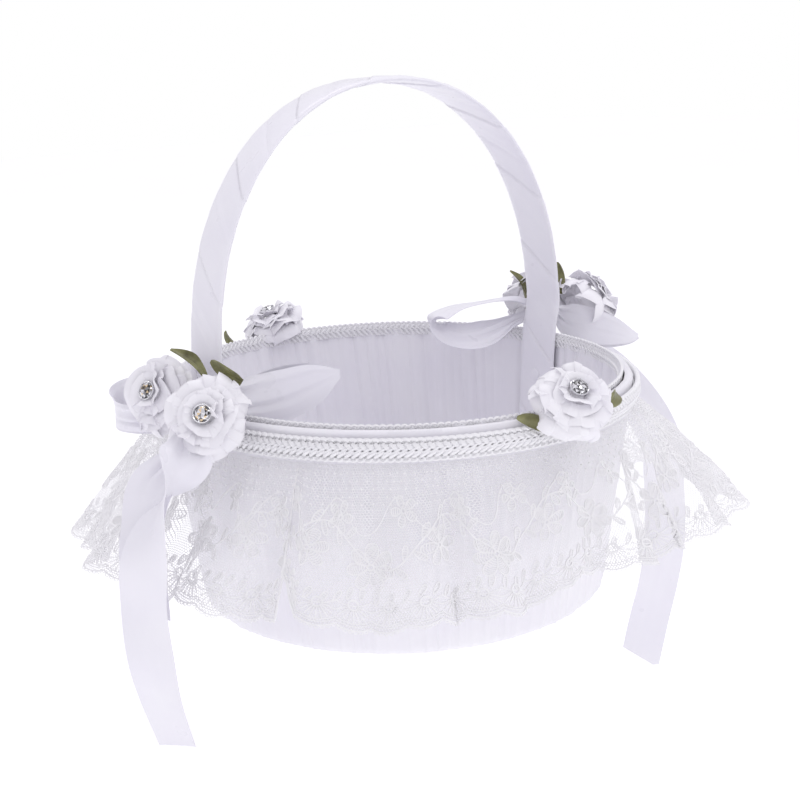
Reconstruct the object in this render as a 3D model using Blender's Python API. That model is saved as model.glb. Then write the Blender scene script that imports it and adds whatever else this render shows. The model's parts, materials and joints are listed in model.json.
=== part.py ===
"""Flower girl basket: an oval satin-covered basket with a wrapped arch handle, a lace ruffle, gimp braids,
two ribbon bows with hanging tails, and ribbon roses with rhinestone centres.

Metres, +Z up. The row's origin is the middle of the underside of the handle's arch, where a hand holds it.
Heights in the sub-part functions are measured from the basket's flat base, and the grip empty lowers them all.
X runs along the handle's span, from the front bow (-X) to the rear bow (+X).
"""

import math

import bmesh
import bpy
from mathutils import Matrix, Vector

# ---- driving dimensions (metres) ----
TOTAL_HEIGHT = 0.230
WALL_PROFILE = (  # height, half-axis along X, half-axis along Y of the satin's outer face
    (0.0000, 0.0885, 0.0910),
    (0.0010, 0.0904, 0.0928),
    (0.0030, 0.0918, 0.0942),
    (0.0080, 0.0926, 0.0952),
    (0.1000, 0.1020, 0.1130),
)
GAP = 0.0003
SATIN = 0.0010
CORE_WALL = 0.0016
BOARD = 0.0020
COVER_TOP = 0.0985
CORE_TOP = 0.0975
PAD_HEIGHT = 0.0070
PAD_CROWN = 0.0020

INNER_GIMP_Z = (0.0935, 0.1016)
INNER_GIMP = 0.0016
OUTER_GIMP_Z = (0.0855, 0.0955)
OUTER_GIMP = 0.0022
TAPE_Z = (0.0860, 0.0945)
TAPE = 0.0006

LACE_TOP = 0.0852
LACE = 0.0010
HEM = (  # direction in degrees from +X, how far the hem stands out from the wall, how far it hangs down
    (0, 0.044, 0.056), (30, 0.034, 0.062), (60, 0.030, 0.064), (90, 0.036, 0.062), (118, 0.044, 0.060),
    (140, 0.055, 0.057), (165, 0.046, 0.054), (188, 0.038, 0.053), (205, 0.035, 0.059), (225, 0.027, 0.061),
    (245, 0.021, 0.058), (270, 0.017, 0.051), (286, 0.026, 0.055), (300, 0.037, 0.053), (318, 0.055, 0.052),
    (340, 0.048, 0.054),
)
FLUTES = 13
FLUTE_DEPTH = 0.0030

HANDLE_HALF_SPAN = 0.0984
HANDLE_WIDTH = 0.0220
HANDLE_THICKNESS = 0.0024
HANDLE_SPRING = 0.1180
HANDLE_FOOT = 0.0500
HANDLE_POWER = 2.13
STRIP_WIDTH = 0.0192
STRIP_THICKNESS = 0.0009
WRAP_WALL = 0.0004
ARCH_STEPS = 36
LEG_STEPS = 6
LEG_CLEARANCE = 0.0010  # a flat strip needs this much room inside the oval braid

RIVET_HEIGHTS = (0.0600, 0.0820)
RIVET_HEAD_R = 0.0030
RIVET_SHANK_R = 0.0011
RIVET_HEAD = 0.0008
RIVET_HOLE_R = RIVET_SHANK_R + GAP

RIBBON_WIDTH = 0.0210
RIBBON = 0.0008
LOOP_SPANS = 3
ROSE_R = 0.0170
ROSE_DEPTH = 0.0120
ROSE_PETALS = 7
STONE_R = 0.0031
SETTING_R = 0.0036
LEAF_WIDTH = 0.0055
LEAF = 0.0010

RING_STEPS = 64
COLLECTION = "flower_girl_basket"

SATIN_WHITE = (0.88, 0.88, 0.93)
LACE_WHITE = (0.93, 0.93, 0.94)


# ---- scene and materials ----
def clear_scene():
    for obj in list(bpy.data.objects):
        bpy.data.objects.remove(obj, do_unlink=True)


def new_collection(name):
    collection = bpy.data.collections.new(name)
    bpy.context.scene.collection.children.link(collection)
    return collection


def material(name, colour, roughness, metallic=0.0):
    mat = bpy.data.materials.new(name)
    mat.use_nodes = True
    shader = mat.node_tree.nodes["Principled BSDF"]
    shader.inputs["Base Color"].default_value = (*colour, 1.0)
    shader.inputs["Roughness"].default_value = roughness
    shader.inputs["Metallic"].default_value = metallic
    mat.diffuse_color = (*colour, 1.0)
    return mat


clear_scene()
PARTS = new_collection(COLLECTION)
CUTTERS = new_collection("cutters")
GRIP = bpy.data.objects.new("grip", None)
PARTS.objects.link(GRIP)
GRIP.location = (0.0, 0.0, HANDLE_THICKNESS - TOTAL_HEIGHT)


def add_object(name, mesh, mat, parent=GRIP, collection=PARTS, smooth_deg=35):
    """Link a mesh as one named sub-part, riding on the grip empty unless another parent is given."""
    obj = bpy.data.objects.new(name, mesh)
    collection.objects.link(obj)
    obj.parent = parent
    if mat:
        mesh.materials.append(mat)
    mesh.shade_smooth()
    mesh.set_sharp_from_angle(angle=math.radians(smooth_deg))
    return obj


def mesh_from_rings(name, rings, loop=False):
    """Join rings of points into one closed skin, capped at both ends, or run round on itself if loop is set."""
    bm = bmesh.new()
    rows = [[bm.verts.new(p) for p in ring] for ring in rings]
    count = len(rings[0])
    pairs = list(zip(rows, rows[1:]))
    if loop:
        pairs.append((rows[-1], rows[0]))
    for low, high in pairs:
        for i in range(count):
            j = (i + 1) % count
            bm.faces.new((low[i], low[j], high[j], high[i]))
    if not loop:
        bm.faces.new(rows[0])
        bm.faces.new(rows[-1])
    bmesh.ops.recalc_face_normals(bm, faces=bm.faces)
    mesh = bpy.data.meshes.new(name)
    bm.to_mesh(mesh)
    bm.free()
    return mesh


def ribbon_mesh(name, centres, across, widths, thickness):
    """A strip along the centres: across gives each station's width direction, widths its width."""
    rings = []
    last = len(centres) - 1
    for i, centre in enumerate(centres):
        along = centres[min(i + 1, last)] - centres[max(i - 1, 0)]
        side = across[i].normalized()
        normal = along.cross(side).normalized()
        side = normal.cross(along).normalized()
        w = side * widths[i] / 2
        t = normal * thickness / 2
        rings.append([centre - w - t, centre + w - t, centre + w + t, centre - w + t])
    return mesh_from_rings(name, rings)


def smooth_path(points, steps):
    """Points along a Catmull-Rom curve through the given ones, steps to each span."""
    knots = [points[0] * 2 - points[1], *points, points[-1] * 2 - points[-2]]
    path = []
    for a, b, c, d in zip(knots, knots[1:], knots[2:], knots[3:]):
        for k in range(steps):
            t = k / steps
            path.append(
                ((b * 2) + (c - a) * t + (a * 2 - b * 5 + c * 4 - d) * t ** 2
                 + (b * 3 - a - c * 3 + d) * t ** 3) * 0.5
            )
    path.append(points[-1].copy())
    return path


# ---- the wall's shape ----
def wall_axes(height):
    for (z0, a0, b0), (z1, a1, b1) in zip(WALL_PROFILE, WALL_PROFILE[1:]):
        if height <= z1:
            break
    t = (height - z0) / (z1 - z0)
    return a0 + (a1 - a0) * t, b0 + (b1 - b0) * t


def wall_ring(height, offset, steps=RING_STEPS):
    """A ring of points at this height, standing out from the satin's outer face by the offset."""
    a, b = wall_axes(height)
    turn = 2 * math.pi / steps
    return [
        Vector(((a + offset) * math.cos(i * turn), (b + offset) * math.sin(i * turn), height))
        for i in range(steps)
    ]


def wall_layer(name, section, mat):
    """A hoop or shell whose cross section is a loop of (height, offset) points."""
    rings = [wall_ring(z, offset) for z, offset in section]
    return add_object(name, mesh_from_rings(name, rings, loop=True), mat)


def band_section(z_range, inner, outer):
    return [(z_range[0], outer), (z_range[1], outer), (z_range[1], inner), (z_range[0], inner)]


# ---- basket body ----
CORE_OUT = -(SATIN + GAP)
CORE_IN = CORE_OUT - CORE_WALL
LINING_OUT = CORE_IN - GAP
LINING_IN = LINING_OUT - SATIN
GIMP_IN_OUT = LINING_IN - GAP
LEG_OUT = GIMP_IN_OUT - INNER_GIMP - LEG_CLEARANCE
BOARD_LOW = SATIN + GAP
FLOOR_LOW = BOARD_LOW + BOARD + GAP


def disc(name, levels, mat, steps=RING_STEPS):
    rings = [wall_ring(z, offset, steps) for z, offset in levels]
    return add_object(name, mesh_from_rings(name, rings), mat)


def basket_body(satin, card):
    heights = [z for z, _, _ in WALL_PROFILE[:-1]] + [0.040, 0.070, COVER_TOP]
    outside = [(z, 0.0) for z in heights]
    inside = [(z, -SATIN) for z in reversed(heights)]
    wall_layer("outer_satin_cover", outside + inside, satin)
    disc("base_satin_cover", [(0.0, CORE_OUT), (SATIN, CORE_OUT)], satin)
    disc("base_board", [(BOARD_LOW, CORE_OUT), (BOARD_LOW + BOARD, CORE_OUT)], card)
    core = [(FLOOR_LOW, CORE_OUT), (0.050, CORE_OUT), (CORE_TOP, CORE_OUT)]
    core += [(CORE_TOP, CORE_IN), (0.050, CORE_IN), (FLOOR_LOW, CORE_IN)]
    shell = wall_layer("wall_shell", core, card)
    lining = [(FLOOR_LOW, LINING_OUT), (0.050, LINING_OUT), (COVER_TOP, LINING_OUT)]
    lining += [(COVER_TOP, LINING_IN), (0.050, LINING_IN), (FLOOR_LOW, LINING_IN)]
    liner = wall_layer("inner_satin_lining", lining, satin)
    edge = LINING_IN - GAP
    pad_top = FLOOR_LOW + PAD_HEIGHT
    pad = [(FLOOR_LOW, edge), (FLOOR_LOW + 0.003, edge), (pad_top, edge - 0.004)]
    pad += [(pad_top + PAD_CROWN, edge - 0.050)]
    disc("floor_pad", pad, satin, steps=48)
    return shell, liner


def gimp_braids(braid):
    hoop = band_section(INNER_GIMP_Z, GIMP_IN_OUT - INNER_GIMP, GIMP_IN_OUT)
    wall_layer("inner_gimp_braid", hoop, braid)
    hoop = band_section(TAPE_Z, GAP, GAP + TAPE)
    wall_layer("lace_heading_tape", hoop, braid)
    inner = 2 * GAP + TAPE
    z_low, z_high = OUTER_GIMP_Z
    crown = (z_low + z_high) / 2
    section = [(z_low, inner + OUTER_GIMP * 0.5), (crown, inner + OUTER_GIMP)]
    section += [(z_high, inner + OUTER_GIMP * 0.5), (z_high, inner), (z_low, inner)]
    wall_layer("outer_gimp_braid", section, braid)


# ---- lace ruffle ----
def hem_at(angle):
    """The hem's flare and drop in this direction, eased between the listed directions, with shallow flutes."""
    deg = math.degrees(angle) % 360
    stops = [*HEM, (HEM[0][0] + 360, *HEM[0][1:])]
    for (d0, flare0, drop0), (d1, flare1, drop1) in zip(stops, stops[1:]):
        if deg <= d1:
            break
    t = (deg - d0) / (d1 - d0)
    ease = t * t * (3 - 2 * t)
    flute = FLUTE_DEPTH * math.cos(FLUTES * angle)
    return flare0 + (flare1 - flare0) * ease + flute, drop0 + (drop1 - drop0) * ease


def lace_point(angle, share, lift):
    """A point on the ruffle: share 0 is the sewn top edge and 1 the hem, lift the distance off its inner face."""
    flare, drop = hem_at(angle)
    a, b = wall_axes(LACE_TOP)
    out = GAP + lift + flare * share ** 1.2
    return Vector(((a + out) * math.cos(angle), (b + out) * math.sin(angle), LACE_TOP - drop * share))


def lace_ruffle(lace):
    steps = FLUTES * 8
    shares = (0.0, 0.25, 0.5, 0.75, 1.0)
    section = [(s, LACE) for s in shares] + [(s, 0.0) for s in reversed(shares)]
    angles = [2 * math.pi * i / steps for i in range(steps)]
    rings = [[lace_point(angle, s, lift) for angle in angles] for s, lift in section]
    add_object("lace_ruffle", mesh_from_rings("lace_ruffle", rings, loop=True), lace)


# ---- handle ----
def leg_x(height):
    """The outer face of a leg below the rim, parallel to the wall it is riveted to."""
    return wall_axes(height)[0] + LEG_OUT


def handle_path():
    """Centres and outward normals of the handle's mid-plane, from the -X foot over the arch to the +X foot."""
    half = HANDLE_THICKNESS / 2
    span = HANDLE_HALF_SPAN - half
    rise = TOTAL_HEIGHT - half - HANDLE_SPRING
    rim = INNER_GIMP_Z[1]
    points = []
    for i in range(LEG_STEPS):
        z = HANDLE_FOOT + (rim - HANDLE_FOOT) * i / (LEG_STEPS - 1)
        points.append(Vector((-(leg_x(z) - half), 0.0, z)))
    for i in range(ARCH_STEPS + 1):
        t = math.pi * i / ARCH_STEPS
        across = math.copysign(abs(math.cos(t)) ** (2 / HANDLE_POWER), math.cos(t))
        up = abs(math.sin(t)) ** (2 / HANDLE_POWER)
        points.append(Vector((-across * span, 0.0, HANDLE_SPRING + rise * up)))
    for point in reversed(points[:LEG_STEPS]):
        points.append(Vector((-point.x, 0.0, point.z)))
    last = len(points) - 1
    normals = []
    for i in range(len(points)):
        along = points[min(i + 1, last)] - points[max(i - 1, 0)]
        normals.append(along.cross(Vector((0.0, -1.0, 0.0))).normalized())
    return points, normals


def strip_loop(centre, normal, width, thickness):
    w = Vector((0.0, width / 2, 0.0))
    t = normal * thickness / 2
    return [centre - w - t, centre + w - t, centre + w + t, centre - w + t]


def handle_parts(satin, card):
    points, normals = handle_path()
    stations = list(zip(points, normals))
    strip = [strip_loop(p, n, STRIP_WIDTH, STRIP_THICKNESS) for p, n in stations]
    core = add_object("handle_core_strip", mesh_from_rings("handle_core_strip", strip), card)
    hollow_w = HANDLE_WIDTH - 2 * WRAP_WALL
    hollow_t = HANDLE_THICKNESS - 2 * WRAP_WALL
    outer = [strip_loop(p, n, HANDLE_WIDTH, HANDLE_THICKNESS) for p, n in stations]
    inner = [strip_loop(p, n, hollow_w, hollow_t) for p, n in stations]
    rings = outer + inner[::-1]
    wrap = add_object("handle_satin_wrap", mesh_from_rings("handle_satin_wrap", rings, loop=True), satin)
    return core, wrap


def wall_lean():
    """The slope of the wall at the handle's feet, as an angle from upright."""
    low, high = (wall_axes(z)[0] for z in RIVET_HEIGHTS)
    return math.atan((high - low) / (RIVET_HEIGHTS[1] - RIVET_HEIGHTS[0]))


def turned_mesh(name, profile, steps):
    """A solid turned about Z from (radius, height) points, flat at both ends."""
    rings = []
    for r, z in profile:
        turn = 2 * math.pi / steps
        rings.append([Vector((r * math.cos(i * turn), r * math.sin(i * turn), z)) for i in range(steps)])
    return mesh_from_rings(name, rings)


def place_on_leg(obj, side, height, offset):
    """Point the object's +Z from the leg towards the inside of the basket."""
    a = wall_axes(height)[0]
    lean = wall_lean()
    turn = Matrix.Rotation(-side * (math.pi / 2 - lean), 4, "Y")
    obj.matrix_local = Matrix.Translation((side * (a + offset), 0.0, height)) @ turn


def rivets(brass, layers):
    inner_face = LEG_OUT - HANDLE_THICKNESS
    head_at = inner_face - GAP
    shank_end = head_at - (CORE_OUT - 0.0002)
    for side, end in ((-1, "front"), (1, "rear")):
        for number, height in enumerate(RIVET_HEIGHTS, start=1):
            profile = [(RIVET_SHANK_R, shank_end), (RIVET_SHANK_R, 0.0), (RIVET_HEAD_R, 0.0)]
            profile += [(RIVET_HEAD_R * 0.9, RIVET_HEAD * 0.7), (RIVET_HEAD_R * 0.45, RIVET_HEAD)]
            name = f"handle_rivet_{end}_{number}"
            place_on_leg(add_object(name, turned_mesh(name, profile, 12), brass), side, height, head_at)
            drill = turned_mesh("drill", [(RIVET_HOLE_R, -0.009), (RIVET_HOLE_R, 0.002)], 12)
            cutter = add_object(f"drill_{end}_{number}", drill, None, collection=CUTTERS)
            place_on_leg(cutter, side, height, head_at)
            cutter.hide_render = True
            cutter.display_type = "WIRE"
            for layer in layers:
                cut = layer.modifiers.new("rivet_hole", "BOOLEAN")
                cut.operation = "DIFFERENCE"
                cut.solver = "MANIFOLD"
                cut.object = cutter


# ---- bows and tails ----
HINGE_AT = {"front": Vector((-0.1310, -0.0120, 0.0790)), "rear": Vector((0.1240, 0.0120, 0.0840))}
KNOT_AT = {"front": Vector((-0.1100, -0.0040, 0.0990)), "rear": Vector((0.1110, 0.0080, 0.1090))}
KNOT_SIZE = (0.0024, 0.0045, 0.0040, 1.0)
LOOPS = {  # millimetres, out along one layer and back along the other: path, widths, width directions
    "front_bow_inner_loop": (
        ((-109, -10, 106), (-103, -15, 108), (-95, -21, 107), (-87, -26, 107), (-80, -32, 109), (-71, -39, 112),
         (-63, -44, 115), (-69, -36, 112), (-77, -28, 109), (-86, -21, 107), (-96, -16, 108), (-107, -8, 107)),
        (4, 6, 9, 15, 16, 11, 4, 10, 15, 14, 6, 4),
        ((0, 0, 1),) * 12,
    ),
    "front_bow_outer_loop": (
        ((-109, 5, 104), (-111, 18, 103), (-114, 30, 102), (-118, 36, 101), (-122, 35, 99), (-123, 29, 98),
         (-115, 17, 98), (-111, 6, 98)),
        (4, 12, 16, 16, 16, 15, 11, 4),
        ((0, 0, 1),) * 8,
    ),
    "rear_bow_inner_loop": (
        ((103, 13, 114), (93, 17, 118), (78, 22, 118), (64, 26, 117), (54, 28, 114), (51, 28, 111), (54, 24, 106),
         (64, 19, 103), (78, 18, 104), (91, 16, 107), (103, 13, 110)),
        (4, 10, 16, 18, 18, 17, 17, 17, 15, 9, 4),
        ((-6, -7, 1), (-6, -7, 1), (-6, -7, 1), (-6, -7, 0), (-6, -7, -2), (-6, -7, -4), (-6, -7, -5),
         (-5, -7, -5), (-5, -7, -5), (-5, -7, -3), (-5, -7, -2)),
    ),
    "rear_bow_outer_loop": (
        ((109, 2, 110), (110, -4, 107), (113, -13, 105), (120, -23, 102), (127, -29, 99), (132, -31, 98),
         (128, -28, 98), (121, -19, 100), (116, -8, 103), (113, 0, 106)),
        (5, 13, 16, 13, 7, 3, 7, 13, 15, 8),
        ((0, 0, 1),) * 10,
    ),
}


def scaled(points):
    return [Vector(p) * 0.001 for p in points]


def spread(values, count):
    """Widths in millimetres eased over count stations, in metres."""
    result = []
    for i in range(count):
        at = i / (count - 1) * (len(values) - 1)
        k = min(int(at), len(values) - 2)
        result.append((values[k] + (values[k + 1] - values[k]) * (at - k)) * 0.001)
    return result


def bow_knots(satin):
    for end, centre in KNOT_AT.items():
        knot = bpy.data.meshes.new(f"{end}_bow_knot")
        bm = bmesh.new()
        bmesh.ops.create_uvsphere(bm, u_segments=12, v_segments=8, radius=1.0)
        bm.to_mesh(knot)
        bm.free()
        knot.transform(Matrix.Translation(centre) @ Matrix.Diagonal(KNOT_SIZE))
        add_object(f"{end}_bow_knot", knot, satin)


def bow_loops(satin):
    for name, (outline, breadths, sides) in LOOPS.items():
        centres = smooth_path(scaled(outline), LOOP_SPANS)
        across = smooth_path([Vector(s).normalized() for s in sides], LOOP_SPANS)
        add_object(name, ribbon_mesh(name, centres, across, spread(breadths, len(centres)), RIBBON), satin)


TAIL_PATHS = {  # millimetres; across gives the width direction at each of the path's points
    "front_tail_long": (
        ((-126, -31, 84), (-135, -31, 79), (-143, -35, 73), (-149, -33, 62), (-150, -28, 50), (-150, -25, 33),
         (-149, -25, 12), (-146, -24, -6), (-141, -25, -27)),
        ((10, -3, 0), (10, 1, 0), (6, 8, 0), (-2, 10, 0), (-5, 9, 0), (-5, 9, 0), (-5, 9, 0), (-4, 9, 0),
         (-3, 10, 0)),
    ),
    "front_tail_short": (
        ((-128, -17, 87), (-136, -17, 81), (-141, -17, 72), (-144, -18, 59), (-145, -18, 44), (-145, -18, 30)),
        ((7, -7, 0), (5, -9, 0), (4, -9, 0), (4, -9, 0), (5, -9, 0), (5, -9, 0)),
    ),
    "rear_tail_long": (
        ((123, 4, 90), (136, -10, 79), (148, -22, 62), (153, -28, 42), (153, -29, 22), (154, -29, 0),
         (153, -29, -18), (149, -28, -38), (144, -26, -57), (138, -25, -77)),
        ((7, -6, 0), (8, -6, 0), (8, -6, 0), (8, -6, 0), (8, -6, 0), (8, -6, 0), (8, -6, 0), (8, -6, 0),
         (8, -6, 0), (8, -6, 0)),
    ),
    "rear_tail_short": (
        ((120, 24, 88), (133, 25, 78), (144, 26, 62), (150, 27, 44), (152, 28, 22), (151, 29, 0), (149, 30, -22)),
        ((0, 10, 0), (0, 10, 0), (1, 10, 0), (1, 10, 0), (1, 10, 0), (1, 10, 0), (1, 10, 0)),
    ),
}
TAIL_SPANS = 3


def tail(name, hinge, satin):
    """A hanging tail, whose parent empty sits on the axis that it swings about."""
    outline, sides = TAIL_PATHS[name]
    centres = smooth_path(scaled(outline), TAIL_SPANS)
    across = smooth_path([Vector(s).normalized() for s in sides], TAIL_SPANS)
    widths = [RIBBON_WIDTH] * len(centres)
    mesh = ribbon_mesh(name, centres, across, widths, RIBBON)
    mesh.transform(Matrix.Translation(-hinge.location))
    add_object(name, mesh, satin, parent=hinge)


def tails(satin):
    for end, place in HINGE_AT.items():
        hinge = bpy.data.objects.new(f"{end}_tails_hinge", None)
        PARTS.objects.link(hinge)
        hinge.parent = GRIP
        hinge.location = place
        for length in ("long", "short"):
            tail(f"{end}_tail_{length}", hinge, satin)


# ---- roses, rhinestones and leaves ----
ROSES = {  # centre in millimetres, and the way the flower faces
    "front_right": ((-119, -31, 106), (-0.64, -0.64, 0.42)),
    "front_left": ((-120, 5, 110), (-0.86, -0.26, 0.42)),
    "side_near": ((-8, -121, 107), (-0.20, -0.66, 0.72)),
    "side_far": ((13, 116, 110), (-0.30, 0.10, 0.95)),
    "rear_right": ((125, -8, 118), (0.85, -0.15, 0.50)),
    "rear_left": ((119, 26, 116), (0.75, 0.42, 0.50)),
}


def facing(centre, normal):
    """A frame at the centre whose +Z is the way the flower faces."""
    return Matrix.Translation(Vector(centre) * 0.001) @ Vector(normal).to_track_quat("Z", "Y").to_matrix().to_4x4()


def rose_mesh(name):
    """A shallow flower with a wavy rim and a dimple for its stone."""
    half = ROSE_DEPTH / 2
    levels = ((0.35, -half, 0.0), (0.80, -half * 0.6, 0.04), (1.0, 0.0, 0.08), (0.82, half * 0.7, 0.06),
              (0.50, half, 0.03), (0.27, half * 0.7, 0.0))
    steps = ROSE_PETALS * 4
    rings = []
    for share, height, wave in levels:
        ring = []
        for i in range(steps):
            angle = 2 * math.pi * i / steps
            r = ROSE_R * (share - wave + wave * math.cos(ROSE_PETALS * angle))
            ring.append(Vector((r * math.cos(angle), r * math.sin(angle), height)))
        rings.append(ring)
    return mesh_from_rings(name, rings)


def roses(satin, silver, crystal):
    setting_low = ROSE_DEPTH / 2 * 0.7 + GAP
    cup_rim = setting_low + 0.0016
    stone_low = setting_low + 0.0006 + GAP
    cup = [(0.0022, setting_low), (SETTING_R, cup_rim - 0.0004), (SETTING_R, cup_rim)]
    cup += [(SETTING_R - 0.0003, cup_rim), (0.0014, setting_low + 0.0006)]
    girdle = stone_low + 0.0017
    gem = [(0.0006, stone_low), (STONE_R * 0.97, girdle - 0.0003), (STONE_R * 0.97, girdle)]
    gem += [(STONE_R * 0.6, girdle + 0.0008)]
    for place, (centre, normal) in ROSES.items():
        frame = facing(centre, normal)
        for name, mesh, mat in (
            (f"rose_{place}", rose_mesh("rose"), satin),
            (f"setting_{place}", turned_mesh("setting", cup, 12), silver),
            (f"rhinestone_{place}", turned_mesh("rhinestone", gem, 8), crystal),
        ):
            mesh.transform(frame)
            add_object(name, mesh, mat, smooth_deg=20)


LEAVES = {  # base, middle and tip in millimetres, and the width direction
    "front_left": (((-108, -13, 118), (-110, -8, 124), (-115, -4, 127)), (0.7, 0.7, 0.1)),
    "front_right": (((-104, -32, 117), (-106, -28, 121), (-109, -23, 124)), (0.6, -0.7, 0.3)),
    "near_left": (((-19, -118, 96), (-24, -115, 97), (-29, -112, 101)), (0.2, -0.3, 0.9)),
    "near_right": (((14, -118, 99), (19, -116, 100), (24, -113, 101)), (0.2, 0.3, 0.9)),
    "far_left": (((-8, 118, 98), (-12, 117, 101), (-16, 115, 107)), (0.8, 0.2, 0.4)),
    "rear_left": (((106, 21, 118), (103, 22, 124), (100, 24, 130)), (0.6, 0.7, 0.0)),
    "rear_right": (((113, 4, 120), (114, 5, 127), (115, 7, 133)), (0.7, -0.5, 0.0)),
}


def leaves(green):
    for place, (outline, across) in LEAVES.items():
        centres = smooth_path(scaled(outline), 3)
        last = len(centres) - 1
        widths = [LEAF_WIDTH * max(0.12, math.sin(math.pi * (0.25 + 0.72 * i / last))) for i in range(last + 1)]
        name = f"leaf_{place}"
        add_object(name, ribbon_mesh(name, centres, [Vector(across)] * len(centres), widths, LEAF), green)


def build():
    satin = material("satin", SATIN_WHITE, 0.35)
    card = material("card", (0.80, 0.80, 0.78), 0.80)
    braid = material("braid", LACE_WHITE, 0.70)
    lace = material("lace", LACE_WHITE, 0.75)
    green = material("leaf_ribbon", (0.16, 0.16, 0.06), 0.40)
    silver = material("setting_metal", (0.80, 0.80, 0.82), 0.20, metallic=1.0)
    crystal = material("crystal", (0.90, 0.92, 0.95), 0.05)
    brass = material("rivet_metal", (0.78, 0.78, 0.80), 0.35, metallic=1.0)
    shell, liner = basket_body(satin, card)
    gimp_braids(braid)
    lace_ruffle(lace)
    core, wrap = handle_parts(satin, card)
    rivets(brass, (wrap, core, liner, shell))
    bow_knots(satin)
    bow_loops(satin)
    tails(satin)
    roses(satin, silver, crystal)
    leaves(green)


build()
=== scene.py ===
"""Looks of the flower girl basket: satin, lace, braid, ribbon and flowers built on the CAD frame."""

import json
import math

import bpy
import numpy as np
from mathutils import Matrix, Vector


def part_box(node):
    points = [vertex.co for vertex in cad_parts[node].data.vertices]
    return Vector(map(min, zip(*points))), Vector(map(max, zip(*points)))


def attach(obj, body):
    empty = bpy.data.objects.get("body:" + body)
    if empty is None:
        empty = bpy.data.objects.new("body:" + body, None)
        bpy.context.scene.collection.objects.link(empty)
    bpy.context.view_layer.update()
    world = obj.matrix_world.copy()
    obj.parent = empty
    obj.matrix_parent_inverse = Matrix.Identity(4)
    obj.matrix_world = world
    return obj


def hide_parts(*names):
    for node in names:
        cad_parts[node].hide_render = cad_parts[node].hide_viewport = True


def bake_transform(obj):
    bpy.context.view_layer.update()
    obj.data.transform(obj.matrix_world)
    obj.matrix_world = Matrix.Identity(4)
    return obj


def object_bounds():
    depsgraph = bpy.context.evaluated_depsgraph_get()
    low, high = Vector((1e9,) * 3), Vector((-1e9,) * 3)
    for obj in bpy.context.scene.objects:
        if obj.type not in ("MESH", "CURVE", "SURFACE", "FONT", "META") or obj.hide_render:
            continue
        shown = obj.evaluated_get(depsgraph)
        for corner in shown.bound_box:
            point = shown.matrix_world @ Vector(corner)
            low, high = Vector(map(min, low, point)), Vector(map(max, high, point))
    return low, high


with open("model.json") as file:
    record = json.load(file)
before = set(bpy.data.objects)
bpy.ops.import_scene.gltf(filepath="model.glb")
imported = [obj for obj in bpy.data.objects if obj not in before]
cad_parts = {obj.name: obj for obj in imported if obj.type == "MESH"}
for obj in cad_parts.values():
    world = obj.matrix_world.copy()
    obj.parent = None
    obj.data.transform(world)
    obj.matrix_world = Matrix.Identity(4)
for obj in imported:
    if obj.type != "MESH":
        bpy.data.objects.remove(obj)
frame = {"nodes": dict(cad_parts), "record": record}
CAD_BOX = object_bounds()
NODES = frame["nodes"]
RECORD = frame["record"]
BASE_Z = next(m["pos_m"][2] for m in RECORD["mounts"] if m["name"] == "base_rest")
UP = np.array((0.0, 0.0, 1.0))
BASKET = "basket"


# ---- numbers and vectors ----
def unit(v):
    return v / np.maximum(np.linalg.norm(v, axis=-1, keepdims=True), 1e-12)


def node_points(name):
    """A CAD node's own points, with heights measured from the basket's base."""
    mesh = NODES[name].data
    flat = np.empty(len(mesh.vertices) * 3, dtype=np.float32)
    mesh.vertices.foreach_get("co", flat)
    points = np.unique(np.round(flat.reshape(-1, 3).astype(float), 6), axis=0)
    points[:, 2] -= BASE_Z
    return points


def smooth_curve(points, count):
    """Evenly counted points, or numbers, along a Catmull-Rom curve through the given ones."""
    p = np.asarray(points, dtype=float)
    p = p.reshape(len(p), -1)
    p = np.vstack((2 * p[0] - p[1], p, 2 * p[-1] - p[-2]))
    at = np.linspace(0, len(p) - 3, count)
    k = np.minimum(at.astype(int), len(p) - 4)
    t = (at - k)[:, None]
    a, b, c, d = p[k], p[k + 1], p[k + 2], p[k + 3]
    square, cube = 2 * a - 5 * b + 4 * c - d, 3 * b - a - 3 * c + d
    return 0.5 * (2 * b + (c - a) * t + square * t ** 2 + cube * t ** 3)


def folds(angle, count, sharp, seed, wander=1.6):
    """Irregular pleats round a ring, from -1 in the creases to 1 on the crests."""
    rng = np.random.default_rng(seed)
    phase = count * angle
    for k in (3, 5, 8, 13, 21):
        phase = phase + wander * rng.uniform(0.4, 1.0) * np.sin(k * angle + rng.uniform(0, 6.28))
    return 1 - 2 * np.abs(np.cos(phase / 2)) ** sharp


def ripple(x, y, seed, octaves=4):
    """Smooth random undulation over a surface, roughly within -1 to 1."""
    rng = np.random.default_rng(seed)
    total = np.zeros(np.broadcast(x, y).shape)
    for k in range(octaves):
        a, b = rng.normal(size=2)
        total = total + np.sin(x * a * (k + 1) + y * b * (k + 1) + rng.uniform(0, 6.28)) / (k + 1)
    return total / 1.6


# ---- meshes ----
def grid_faces(rows, cols, wrap):
    r = np.arange(rows - 1)[:, None]
    c = np.arange(cols if wrap else cols - 1)[None, :]
    n = (c + 1) % cols
    quads = np.stack([r * cols + c, r * cols + n, (r + 1) * cols + n, (r + 1) * cols + c], axis=-1)
    return quads.reshape(-1, 4)


def end_caps(rows, cols):
    """The two faces that close a tube of so many rows."""
    ring = np.arange(cols)
    return ring[None, ::-1], (ring + (rows - 1) * cols)[None, :]


def grid_normals(p, wrap):
    if wrap:
        across = np.roll(p, -1, axis=1) - np.roll(p, 1, axis=1)
    else:
        across = np.gradient(p, axis=1)
    return unit(np.cross(across, np.gradient(p, axis=0)))


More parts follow.
